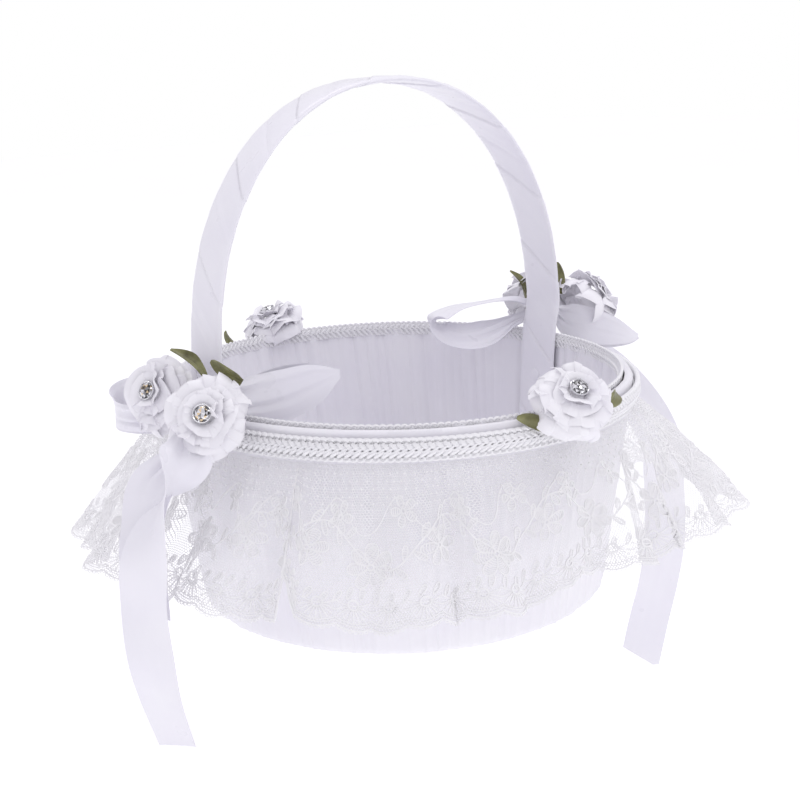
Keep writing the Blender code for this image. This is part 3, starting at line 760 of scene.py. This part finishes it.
LACE_ANGLE, LACE_LENGTH, LACE_DEEP = lace_metrics()
REPEATS = 20
PERIOD = LACE_LENGTH[-1] / REPEATS
SCALLOP = PERIOD / 4
SCALLOP_DEPTH = 0.0024


def edge_depth(u):
    """How far down the scalloped hem lies at each length along the cloth."""
    return LACE_DEEP - SCALLOP_DEPTH * (1 - np.abs(np.sin(math.pi * u / SCALLOP)) ** 0.8)


def on_lace(flat, lift):
    """Flat cloth positions (along, down) in metres put on the gathered lace, raised by the lift."""
    u, v = flat[..., 0], flat[..., 1]
    angle = np.interp(u % LACE_LENGTH[-1], LACE_LENGTH, LACE_ANGLE)
    share = np.clip(v / LACE_DEEP, 0.0, 1.1)
    p = lace_surface(angle, share)
    d_angle = lace_surface(angle + 0.002, share) - p
    d_share = lace_surface(angle, share + 0.01) - p
    normal = unit(np.cross(d_angle, -d_share))
    return p + normal * lift, normal


def lace_sheet(thread_work):
    """The gathered net, with the thread work that is sewn on it."""
    cols, rows = 1800, 30
    u = np.linspace(0, LACE_LENGTH[-1], cols + 1)
    u[-1] -= 1e-9
    share = np.linspace(1, 0, rows)[:, None]
    v = share * edge_depth(u)[None, :]
    flat = np.stack((np.broadcast_to(u, v.shape), v), axis=-1)
    p, _ = on_lace(flat, 0.0)
    uv = flat.reshape(-1, 2)
    parts = (p.reshape(-1, 3), [grid_faces(rows, cols + 1, False)], uv)
    net_piece = piece("lace_net_ruffle", parts, NET, ("lace_ruffle",))


def repeat(shapes, count=REPEATS, period=PERIOD):
    """Copies of flat paths along the cloth, an array of (number, points, 2)."""
    shapes = np.asarray(shapes, dtype=float)
    moves = np.arange(count)[:, None, None, None] * np.array((period, 0.0))
    return (shapes[None] + moves).reshape(-1, *shapes.shape[1:])


def stitched(flat, radius, sides=4, lift=0.00025, closed=False):
    p, normal = on_lace(flat, lift)
    return tubes(p, radius, sides, normals=normal, closed=closed)


def petal(cx, cy, angle, length, width, count=12):
    """The outline of a petal from its base, and the threads that fill it."""
    t = np.linspace(0, 2 * math.pi, count + 1)[:-1]
    along = length * (0.5 - 0.5 * np.cos(t))
    side = width / 2 * np.sin(t) * (0.35 + 0.65 * np.sqrt(along / length))
    c, s = math.cos(angle), math.sin(angle)
    outline = np.stack((cx + along * c - side * s, cy + along * s + side * c), axis=-1)
    fill = []
    for f in np.linspace(0.12, 0.92, max(4, int(length / 0.0010))):
        w = width / 2 * math.sin(math.acos(1 - 2 * f)) * (0.35 + 0.65 * math.sqrt(f)) * 0.96
        x = np.array((-w, 0.0, w))
        y = np.array((length * f, length * f + w * 0.25, length * f))
        fill.append(np.stack((cx + y * c - x * s, cy + y * s + x * c), axis=-1))
    return outline, fill


def ring_path(cx, cy, rx, ry, count=14):
    t = np.linspace(0, 2 * math.pi, count + 1)[:-1]
    return np.stack((cx + rx * np.cos(t), cy + ry * np.sin(t)), axis=-1)


def lace_sprays():
    """Petal outlines, their filling threads and the flowers' middles, for one repeat of the pattern."""
    deep = LACE_DEEP
    outlines, fills, rings = [], [], []

    def leaflet(cx, cy, angle, length, width, shift=0.0):
        outline, fill = petal(cx, cy, angle, length, width)
        outlines.append(outline + shift)
        fills.extend(line + shift for line in fill)

    flowers = (  # place along and down, petals, their length and width, first direction
        (0.50, 0.60, 7, 0.0090, 0.0060, 0.3), (0.02, 0.50, 6, 0.0078, 0.0056, 0.9),
        (0.26, 0.30, 5, 0.0058, 0.0044, 0.1), (0.77, 0.27, 5, 0.0054, 0.0042, 0.6))
    for along, down, count, length, width, start in flowers:
        for k in range(count):
            angle = start + 2 * math.pi * k / count
            shift = 0.0012 * np.array((math.cos(angle), math.sin(angle)))
            leaflet(PERIOD * along, deep * down, angle, length, width, shift)
        rings.append(ring_path(PERIOD * along, deep * down, 0.0011, 0.0011))
    for k in range(14):
        at = (k + 0.5) / 14
        lean = (1 if k % 2 else -1) * 1.05 + 0.35 * math.sin(2 * math.pi * at)
        leaflet(PERIOD * at, deep * (0.47 + 0.15 * math.cos(2 * math.pi * at + 2.4)), lean, 0.0068, 0.0030)
    for k in range(10):
        at = (k + 0.3) / 10
        y = deep * (0.82 + 0.02 * math.sin(4 * math.pi * at))
        leaflet(PERIOD * at, y, -1.2 + 0.25 * math.sin(9 * at), 0.0060, 0.0026)
    return outlines, fills, rings


def lace_border():
    """Corded edges, stems, picots and a fan with a ring in each scallop."""
    line = np.linspace(0, LACE_LENGTH[-1], 3400, endpoint=False)
    wave = 2 * math.pi * line / PERIOD
    cords = [(edge_depth(line) - inset, r) for inset, r in
             ((0.0002, 0.00042), (0.0021, 0.00026), (0.0032, 0.00030), (0.0108, 0.00028))]
    cords.append((LACE_DEEP * (0.47 + 0.15 * np.cos(wave + 2.4)), 0.00036))
    cords.append((LACE_DEEP * (0.30 + 0.11 * np.cos(wave * 2 + 0.4)), 0.00026))
    parts = [stitched(np.stack((line, v), axis=-1)[None], r, closed=True) for v, r in cords]

    picots = int(LACE_LENGTH[-1] / 0.0021)
    at = ((np.arange(picots) + 0.5) * LACE_LENGTH[-1] / picots)[:, None]
    turn = np.linspace(-0.25, math.pi + 0.25, 6)[None]
    loops = np.stack((at + 0.00088 * np.cos(turn), edge_depth(at) + 0.0011 * np.sin(turn)), axis=-1)
    parts.append(stitched(loops, 0.00022))

    centre = np.array((SCALLOP / 2, LACE_DEEP - 0.0112))
    angles = [math.pi * (0.10 + 0.80 * k / 8) for k in range(9)]
    ribs = [np.array((math.cos(a), math.sin(a))) for a in angles]
    fans = [[centre + rib * q for q in (0.0026, 0.0052, 0.0078)] for rib in ribs]
    parts.append(stitched(repeat(fans, REPEATS * 4, SCALLOP), 0.00030))
    hole = [ring_path(*centre, 0.0022, 0.0022)]
    parts.append(stitched(repeat(hole, REPEATS * 4, SCALLOP), 0.00046, closed=True))
    return joined(parts)


def lace_spots():
    """Small dots in the plain net under the heading."""
    dots = []
    for row in range(5):
        for col in range(14):
            x = PERIOD * (col + 0.5 * (row % 2) + 0.25) / 14
            y = LACE_DEEP * (0.05 + 0.045 * row)
            dots.append([(x, y - 0.0005), (x, y), (x, y + 0.0005)])
    spots, normal = on_lace(repeat(dots), 0.0001)
    return tubes(spots, np.array((0.00012, 0.00048, 0.00012)), 4, normals=normal)


def lace_work():
    """All the thread work that is sewn on the net."""
    outlines, fills, rings = lace_sprays()
    edges = [stitched(repeat(outlines), 0.00030, closed=True), stitched(repeat(rings), 0.00042, closed=True)]
    return [
        piece("lace_flower_outlines", joined(edges), LACE),
        piece("lace_flower_fill", stitched(repeat(fills), 0.00026, lift=0.0001), LACE),
        piece("lace_border_cords", lace_border(), LACE),
        piece("lace_spots", lace_spots(), LACE),
    ]


# ---- handle ----
STRIP_FACES_APART = 0.0012  # points of the strip's two faces that are closer than this make a pair


def handle_path(count):
    """The strip's centre line and its length, from the core strip: foot, leg, arch, leg, foot."""
    points = node_points("handle_core_strip")
    edge = points[points[:, 1] > points[:, 1].max() - 1e-5]
    middle = np.array((0.0, 0.0, 0.115))
    polar = np.arctan2(edge[:, 0], edge[:, 2] - middle[2])
    edge = edge[np.argsort(polar)]
    pairs = []
    k = 0
    while k + 1 < len(edge):
        paired = np.linalg.norm(edge[k] - edge[k + 1]) < STRIP_FACES_APART
        if paired:
            pairs.append((edge[k] + edge[k + 1]) / 2)
        k += 2 if paired else 1
    line = np.array(pairs)
    line[:, 1] = 0.0
    dense = smooth_curve(line, 2000)
    length = np.concatenate(([0], np.cumsum(np.linalg.norm(np.diff(dense, axis=0), axis=1))))
    at = np.linspace(0, length[-1], count)
    return np.stack([np.interp(at, length, column) for column in dense.T], axis=-1), length[-1]


WRAP_PITCH = 0.042
WRAPPED_THICKNESS = 0.0024


def strip_section():
    """Round the wound strip: places across its width and through its thickness, each from -1 to 1."""
    across = np.linspace(0.965, -0.965, 27)
    rounded = np.sqrt(1 - np.abs(across) ** 6)
    section = [(1.0, 0.0), *zip(across, rounded), (-1.0, 0.0), *zip(-across, -rounded)]
    return np.array(section).T


def handle_wrap():
    """Satin ribbon wound slantwise round the strip: each turn's edge stands a little over the one before."""
    count = 1500
    line, length = handle_path(count)
    low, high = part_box("handle_satin_wrap")
    width = high[1] - low[1]
    along = unit(np.gradient(line, axis=0))
    outward = unit(np.cross(along, np.array((0.0, -1.0, 0.0))))
    cx, sx = strip_section()
    s = np.linspace(0, length, count)[:, None]
    inside = sx[None, :] < 0
    slant = np.where(inside, 0.5 - 0.25 * cx[None, :], 0.25 * cx[None, :])
    lap = (s + 0.0007 * np.sin(s * 31)) / WRAP_PITCH + slant
    local = lap % 1.0
    turn = np.floor(lap)
    step = np.where(local < 0.02, local / 0.02, 1 - (local - 0.02) / 0.98)
    rise = np.sin(local * math.pi)
    crease = 0.00016 * np.sin(local * 15 + turn * 2.3) * rise
    crease = crease + 0.00007 * np.sin(local * 37 + turn * 4.1) * rise ** 2
    seam = np.exp(-(np.minimum(local, 1 - local) / 0.013) ** 2)
    seam = seam + 0.45 * np.exp(-((local - 0.53) / 0.016) ** 2)
    lift = 0.00050 * step + np.where(inside, 1.0, 0.7) * crease - 0.00020 - 0.00038 * seam
    half_w = width / 2 + lift * 0.18
    half_t = WRAPPED_THICKNESS / 2 + lift
    p = (line[:, None, :] + np.array((0.0, 1.0, 0.0)) * (half_w * cx[None, :])[..., None]
         + outward[:, None, :] * (half_t * sx[None, :])[..., None])
    wrap = piece("satin_handle_wrap", shell(p, 0.0003, wrap=True), RIBBON, ("handle_satin_wrap",))


# ---- ribbons ----
def ribbon(path, across, widths, rows, cols, gather, curl, cut=0.0):
    """A strip of ribbon as a grid. gather gives the depth of its small lengthwise folds at each point."""
    centre = smooth_curve(path, rows)
    side = unit(smooth_curve(across, rows))
    along = unit(np.gradient(centre, axis=0))
    normal = unit(np.cross(along, side))
    side = np.cross(normal, along)
    w = smooth_curve(widths, rows)
    c = np.linspace(-0.5, 0.5, cols)[None, :]
    waves = np.sin(c * 2 * math.pi * 3.2 + 0.8) + 0.5 * np.sin(c * 2 * math.pi * 5.3 + 2.0)
    lift = smooth_curve(gather, rows) * waves + curl * (c ** 2) * w
    t = np.linspace(0, 1, rows)[:, None]
    slip = cut * c * np.clip((t - 0.9) / 0.1, 0, 1) * w
    moves = ((side, w * c), (normal, lift), (along, slip))
    return centre[:, None, :] + sum(axis[:, None, :] * size[..., None] for axis, size in moves)


def mm(points):
    return np.asarray(points, dtype=float) * 0.001


def bow_knot(end):
    """The short roll of gathered ribbon in the middle of a bow."""
    low, high = (np.array(corner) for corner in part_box(f"{end}_bow_knot"))
    centre = (low + high) / 2 - np.array((0, 0, BASE_Z))
    size = (high - low) / 2
    rows, cols = 17, 48
    u = np.linspace(0, 2 * math.pi, cols + 1)[:-1]
    rings = []
    for v in np.linspace(-1, 1, rows):
        r = math.sqrt(max(1 - (v * 0.94) ** 2, 0.02)) * (1 + 0.07 * np.cos(9 * u + 2 * v))
        ring = np.stack((size[0] * r * np.cos(u), v * size[1] + 0 * u, size[2] * r * np.sin(u)), axis=-1)
        rings.append(centre + ring)
    p = np.array(rings)
    start, finish = end_caps(rows, cols)
    faces = [grid_faces(rows, cols, True)[:, ::-1], start[:, ::-1], finish[:, ::-1]]
    mesh = (p.reshape(-1, 3), faces, grid_uv(p).reshape(-1, 2))
    piece(f"ribbon_{end}_knot", mesh, RIBBON, (f"{end}_bow_knot",))


def bows():
    for name, (path, widths, gather, across) in LOOPS.items():
        grid = ribbon(mm(path), across, mm(widths), 96, 22, mm(gather), curl=0.05)
        loop = piece(f"ribbon_{name}", shell(grid, 0.0003), RIBBON, (name,))
    for end in ("front", "rear"):
        bow_knot(end)


def tails():
    """The hanging tails, running down from the bows."""
    rows, cols = 150, 14
    along = np.linspace(0, 1, rows)[:, None]
    for name, (path, across, cut) in TAILS.items():
        p = mm(path)
        n = len(p)
        gather = np.full(n, 0.00008)
        gather[:2] = (0.0009, 0.0004)
        widths = np.full(n, RIBBON_WIDTH)
        widths[0] = 0.014
        grid = ribbon(p, unit(np.asarray(across, dtype=float)), widths, rows, cols, gather, 0.03, cut)
        ripples = np.sin(along * 17 + n) * np.sin(np.linspace(-1, 1, cols) * 1.4 + along * 5)
        grid = grid + grid_normals(grid, False) * (0.0006 * ripples)[..., None]
        tail = piece(f"ribbon_{name}", shell(grid, 0.0003), RIBBON, (name,), body=None)
        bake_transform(tail)


# ---- roses, stones and leaves ----
def facing(name):
    """A frame at a CAD rose whose third axis is the way the flower faces."""
    middle = node_points(f"rose_{name}").mean(axis=0)
    stone = node_points(f"setting_{name}").mean(axis=0)
    z = unit(stone - middle)
    x = unit(np.cross(z, UP + np.array((0.1, 0.05, 0.0))))
    return middle, np.stack((x, np.cross(z, x), z))


def ruffle(seed, turns, r0, r1, length, lift0, lift1, waves, rows, size):
    """One long gathered ribbon wound on itself, as a grid in the flower's own frame."""
    rng = np.random.default_rng(seed)
    t = np.linspace(0, 1, rows)[None, :]
    w = np.linspace(0, 1, 12)[:, None]
    angle = 2 * math.pi * turns * t + rng.uniform(0, 6.28)
    base = r0 + (r1 - r0) * t
    phase = 2 * math.pi * waves * turns * t
    steep = lift0 + (lift1 - lift0) * t ** 0.8
    steep = steep + 0.22 * np.sin(phase * 0.37 + seed) + 0.16 * np.sin(phase * 0.61)
    for k in (2, 3, 5):
        swing = rng.uniform(0.8, 1.9)
        phase = phase + swing * np.sin(math.pi * k * t * turns + rng.uniform(0, 6.28))
    span = length * (0.72 + 0.28 * t) * (1 + 0.10 * np.sin(phase * 0.5 + 1))
    amp = size * (0.55 + 0.45 * t) * w ** 1.3 * (0.75 + 0.35 * np.sin(phase * 0.29 + 1.7))
    bend = steep - 0.75 * w * (0.5 + t)
    radial = base + span * w * np.cos(bend)
    height = span * w * np.sin(bend) + 0.0035 * (1 - t)
    normal_r, normal_z = -np.sin(bend), np.cos(bend)
    wave = np.sin(phase) + 0.22 * np.sin(2 * phase + 0.6)
    radial = radial + normal_r * amp * wave
    height = height + normal_z * amp * wave
    angle = angle + 0.85 * amp * np.sin(2 * phase) / np.maximum(radial, 0.003)
    return np.stack((radial * np.cos(angle), radial * np.sin(angle), height), axis=-1)


ROSE_LAYERS = (  # each sewn line: its height, turns, inner and outer radius, ruffle depth, steepness in and
    # out, waves in a turn, mesh rows and wave size
    (-0.0010, 2.6, 0.0030, 0.0062, 0.0066, 1.15, 0.80, 5.0, 560, 0.0024),
    (-0.0030, 1.8, 0.0062, 0.0088, 0.0086, 0.85, 0.35, 6.5, 600, 0.0033),
    (-0.0048, 1.5, 0.0082, 0.0100, 0.0100, 0.35, -0.15, 7.5, 640, 0.0036),
)
ROSE_HEART = ((0.0010, -0.0062), (0.0070, -0.0060), (0.0086, -0.0048), (0.0070, -0.0030), (0.0030, -0.0004),
              (0.0004, 0.0020))  # radius and height of the padded middle that the ruffles are sewn to


def flat_ring(radius, z, count):
    """A circle in a flower's own frame."""
    return np.concatenate((ring_path(0, 0, radius, radius, count), np.full((count, 1), z)), axis=1)


def rose(name, seed):
    """Three ruffles of gathered ribbon round a padded heart."""
    centre, axes = facing(name)
    parts = []
    for k, (base, *layer) in enumerate(ROSE_LAYERS):
        grid = ruffle(seed * 10 + k, *layer)
        grid[..., 2] += base
        world = centre + grid @ axes
        parts.append(shell(world, 0.00028))
    heart = centre + np.array([flat_ring(r, z, 28) for r, z in ROSE_HEART]) @ axes
    faces = [grid_faces(len(ROSE_HEART), 28, True), *end_caps(len(ROSE_HEART), 28)]
    parts.append((heart.reshape(-1, 3), faces, None))
    bloom = piece(f"rose_bloom_{name}", joined(parts), PETAL, (f"rose_{name}",))


STONE_RINGS = ((0.0033, 0.75, 0), (0.0033, 0.95, 0), (0.00264, 1.55, 0.5), (0.001716, 1.95, 0))
STONE_SIDES = 8  # the rings give radius, millimetres above the setting's floor, and turn in facets


def stone_facets():
    """Point, girdle, crown and table of a cut stone, as triangles between its rings."""
    faces = []
    girdle, crown, table = (1 + STONE_SIDES * level for level in (1, 2, 3))
    top = 1 + STONE_SIDES * len(STONE_RINGS)
    for k in range(STONE_SIDES):
        n = (k + 1) % STONE_SIDES
        faces += [(0, 1 + n, 1 + k), (1 + k, 1 + n, girdle + n), (1 + k, girdle + n, girdle + k)]
        faces += [(girdle + k, girdle + n, crown + k), (crown + k, girdle + n, crown + n)]
        faces += [(crown + k, table + n, table + k), (crown + k, crown + n, table + n)]
        faces.append((table + k, table + n, top))
    return np.array(faces)


def painted_facet_reflections(count, rng):
    """Painted reflections: each facet's colour stands for a lighter or darker part of the room mirrored in
    it, and a few are warm.
    """
    shades = [0.03, 0.06, 0.12, 0.30, 0.75, 0.95]
    painted_reflection = rng.choice(shades, size=count, p=[0.10, 0.12, 0.14, 0.20, 0.22, 0.22])
    warm = rng.random(count) < 0.18
    shares = [np.where(warm, hot, cold) for hot, cold in ((1.0, 0.97), (0.78, 0.97), (0.5, 1.0))]
    return np.stack([*(painted_reflection * share for share in shares), np.ones(count)], axis=1)


def stone(name, seed):
    """A cut stone in a ring of claws, both on the flower's own axis."""
    _, axes = facing(name)
    seat = node_points(f"setting_{name}")
    middle = seat.mean(axis=0)
    low = ((seat - middle) @ axes[2]).min()
    local = [(0, 0, low + 0.0003)]
    for radius, z, shift in STONE_RINGS:
        for k in range(STONE_SIDES):
            a = 2 * math.pi * (k + shift) / STONE_SIDES
            local.append((radius * math.cos(a), radius * math.sin(a), low + z * 0.001))
    local.append((0, 0, low + 0.00195))
    faces = stone_facets()
    # painted reflections: a light or dark colour for each facet
    painted_reflections = painted_facet_reflections(len(faces), np.random.default_rng(seed))
    mesh = (middle + np.array(local) @ axes, [faces], None)
    piece(f"stone_{name}", mesh, STONE, (f"rhinestone_{name}",), smooth=False, painted_reflections=painted_reflections)

    cup = np.array([flat_ring(radius, low + z, 24) for radius, z in ((0.0036, 0.0008), (0.0034, 0.0003))])
    parts = [tubes(middle + cup @ axes, 0.00032, 6, normals=axes[2], closed=True)]
    claws = []
    for k in range(6):
        a = 2 * math.pi * (k + 0.25) / 6
        d = np.array((math.cos(a), math.sin(a), 0.0))
        bends = ((0.0034, 0.0), (0.0037, 0.0008), (0.0034, 0.0014), (0.0028, 0.0017))
        claws.append([d * reach + (0, 0, low + height) for reach, height in bends])
    parts.append(tubes(middle + np.array(claws) @ axes, np.array((0.0003, 0.00036, 0.00032, 0.00026)), 6))
    piece(f"claw_setting_{name}", joined(parts), SILVER, (f"setting_{name}",))


def leaf(name, seed):
    """A folded, curling ribbon leaf along the CAD leaf's own length."""
    points = node_points(f"leaf_{name}")
    middle = points.mean(axis=0)
    length_axis, width_axis, normal = np.linalg.svd(points - middle)[2]
    if normal[2] < 0:
        normal = -normal
    if length_axis[2] < 0:
        length_axis = -length_axis
    span = (points - middle) @ length_axis
    half = (span.max() - span.min()) / 2 + 0.0012
    t = np.linspace(0, 1, 26)[:, None]
    c = np.linspace(-1, 1, 13)[None, :]
    width = 0.0027 * np.sin(math.pi * np.clip(t * 0.90 + 0.08, 0, 1)) ** 0.45 * (1 - 0.2 * t)
    fold = 0.0013 * (1 - np.abs(c) ** 1.5) * np.sin(math.pi * np.clip(t * 0.94 + 0.04, 0, 1)) ** 0.6
    curl = 0.0026 * np.sin(math.pi * t) + 0.0012 * c ** 3 * np.sin(math.pi * t)
    ruck = 0.0002 * np.sin(c * 9 + t * 12 + seed) * (1 - t)
    p = (middle + length_axis * ((2 * t - 1) * half)[..., None] + width_axis * (c * width)[..., None]
         + normal * (curl - fold + ruck - 0.0006)[..., None])
    piece(f"leaf_ribbon_{name}", shell(p, 0.0006), LEAF, (f"leaf_{name}",))


def flowers():
    for k, name in enumerate(n[5:] for n in sorted(NODES) if n.startswith("rose_")):
        rose(name, 40 + k)
        stone(name, 60 + k)
    for k, name in enumerate(n[5:] for n in sorted(NODES) if n.startswith("leaf_")):
        leaf(name, 80 + k)
    stalk("front", "front_right", 0.0080, 0.0200, 0.006)


def stalk(name, flower, across, drop, out):
    """A bare wire end of a flower's stalk, with the dark bead of its binding. Offsets are from the flower."""
    middle, axes = facing(flower)
    side = unit(np.cross(axes[2], UP))
    tip = middle + side * across - UP * drop + axes[2] * out
    end = tip - UP * 0.004 + side * across * 0.4
    wire = np.array([middle - axes[2] * 0.001, (middle + tip) / 2 + axes[2] * 0.001, tip, end])
    wire = tubes(smooth_curve(wire, 24)[None], 0.00022, 6)
    t = np.linspace(-1, 1, 9)
    line = tip - UP * 0.0013 * t[:, None]
    bead = tubes(line[None], 0.0011 * np.sqrt(np.maximum(1 - t ** 2, 0.02))[None], 12, normals=axes[2])
    piece(f"stalk_wire_{name}", wire, SILVER)
    piece(f"stalk_bead_{name}", bead, LEAF)


# ---- CAD pieces that keep their shape ----
def repaint(name, mat):
    mesh = NODES[name].data
    mesh.materials.clear()
    mesh.materials.append(mat)
    for slot_ in NODES[name].material_slots:
        slot_.material = mat


def carried_over():
    for name in ("base_board", "wall_shell", "handle_core_strip"):
        repaint(name, CARD)
    repaint("lace_heading_tape", GIMP)
    for name in NODES:
        if name.startswith("handle_rivet"):
            repaint(name, RIVET)


# ---- studio ----
def studio():
    world = bpy.data.worlds.new("soft_studio")
    bpy.context.scene.world = world
    world.use_nodes = True
    tree = world.node_tree
    back = tree.nodes["Background"]
    back.inputs["Color"].default_value = (0.96, 0.945, 1.0, 1.0)
    back.inputs["Strength"].default_value = 0.79
    seen = tree.nodes.new("ShaderNodeBackground")
    seen.inputs["Color"].default_value = (1.0, 1.0, 1.0, 1.0)
    seen.inputs["Strength"].default_value = 1.0
    path = tree.nodes.new("ShaderNodeLightPath")
    mix = tree.nodes.new("ShaderNodeMixShader")
    tree.links.new(path.outputs["Is Camera Ray"], mix.inputs[0])
    tree.links.new(back.outputs[0], mix.inputs[1])
    tree.links.new(seen.outputs[0], mix.inputs[2])
    tree.links.new(mix.outputs[0], tree.nodes["World Output"].inputs["Surface"])

    floor_z = CAD_BOX[0][2] - 0.0015
    mesh = bpy.data.meshes.new("studio_floor")
    corners = [(x, y, floor_z) for x, y in ((-6, -6), (6, -6), (6, 6), (-6, 6))]
    mesh.from_pydata(corners, [], [(0, 1, 2, 3)])
    paint = Paint("pale_floor", (0.86, 0.86, 0.87), 0.9)
    paint.set("Emission Color", (1.0, 1.0, 1.0, 1.0))
    paint.set("Emission Strength", 0.35)
    paint.vary(paint.noise(paint.place(), 3.0), (0.85, 0.85, 0.86), (0.87, 0.87, 0.88))
    mesh.materials.append(paint.mat)
    floor = bpy.data.objects.new("studio_floor", mesh)
    bpy.context.scene.collection.objects.link(floor)

    def area(name, place, size, power, colour=(1, 1, 1)):
        lamp = bpy.data.lights.new(name, "AREA")
        lamp.shape = "DISK"
        lamp.size = size
        lamp.energy = power
        lamp.color = colour
        obj = bpy.data.objects.new(name, lamp)
        obj.location = place
        aim = Vector((0.0, 0.0, -0.13)) - Vector(place)
        obj.rotation_euler = aim.to_track_quat("-Z", "Y").to_euler()
        bpy.context.scene.collection.objects.link(obj)

    area("key", (0.35, -0.85, 1.05), 0.6, 2.4)
    area("top", (0.3, 0.3, 1.3), 0.8, 4.4)
    bpy.context.scene.view_settings.view_transform = "Standard"
    bpy.context.scene.view_settings.look = "None"


def camera():
    a, e, r = (math.radians(x) for x in (-39.0, 13.1, -2.9))
    back = Vector((math.sin(a) * math.cos(e), -math.cos(a) * math.cos(e), math.sin(e)))
    right = Vector((math.cos(a), math.sin(a), 0.0))
    up = back.cross(right)
    rolled = right * math.cos(r) + up * math.sin(r)
    up = up * math.cos(r) - right * math.sin(r)
    lens = bpy.data.cameras.new("camera")
    lens.lens = 63.0
    lens.sensor_width = 36.0
    lens.clip_start = 0.02
    obj = bpy.data.objects.new("camera", lens)
    place = right * 0.0024 + Vector((0.0, 0.0, 0.0854 + BASE_Z)) + back * 0.641
    turn = Matrix((rolled, up, back)).transposed().to_4x4()
    obj.matrix_world = Matrix.Translation(place) @ turn
    bpy.context.scene.collection.objects.link(obj)
    bpy.context.scene.camera = obj


camera()
satin_body()
floor_cushion()
braids()
lace_sheet(lace_work())
handle_wrap()
bows()
tails()
flowers()
carried_over()
studio()
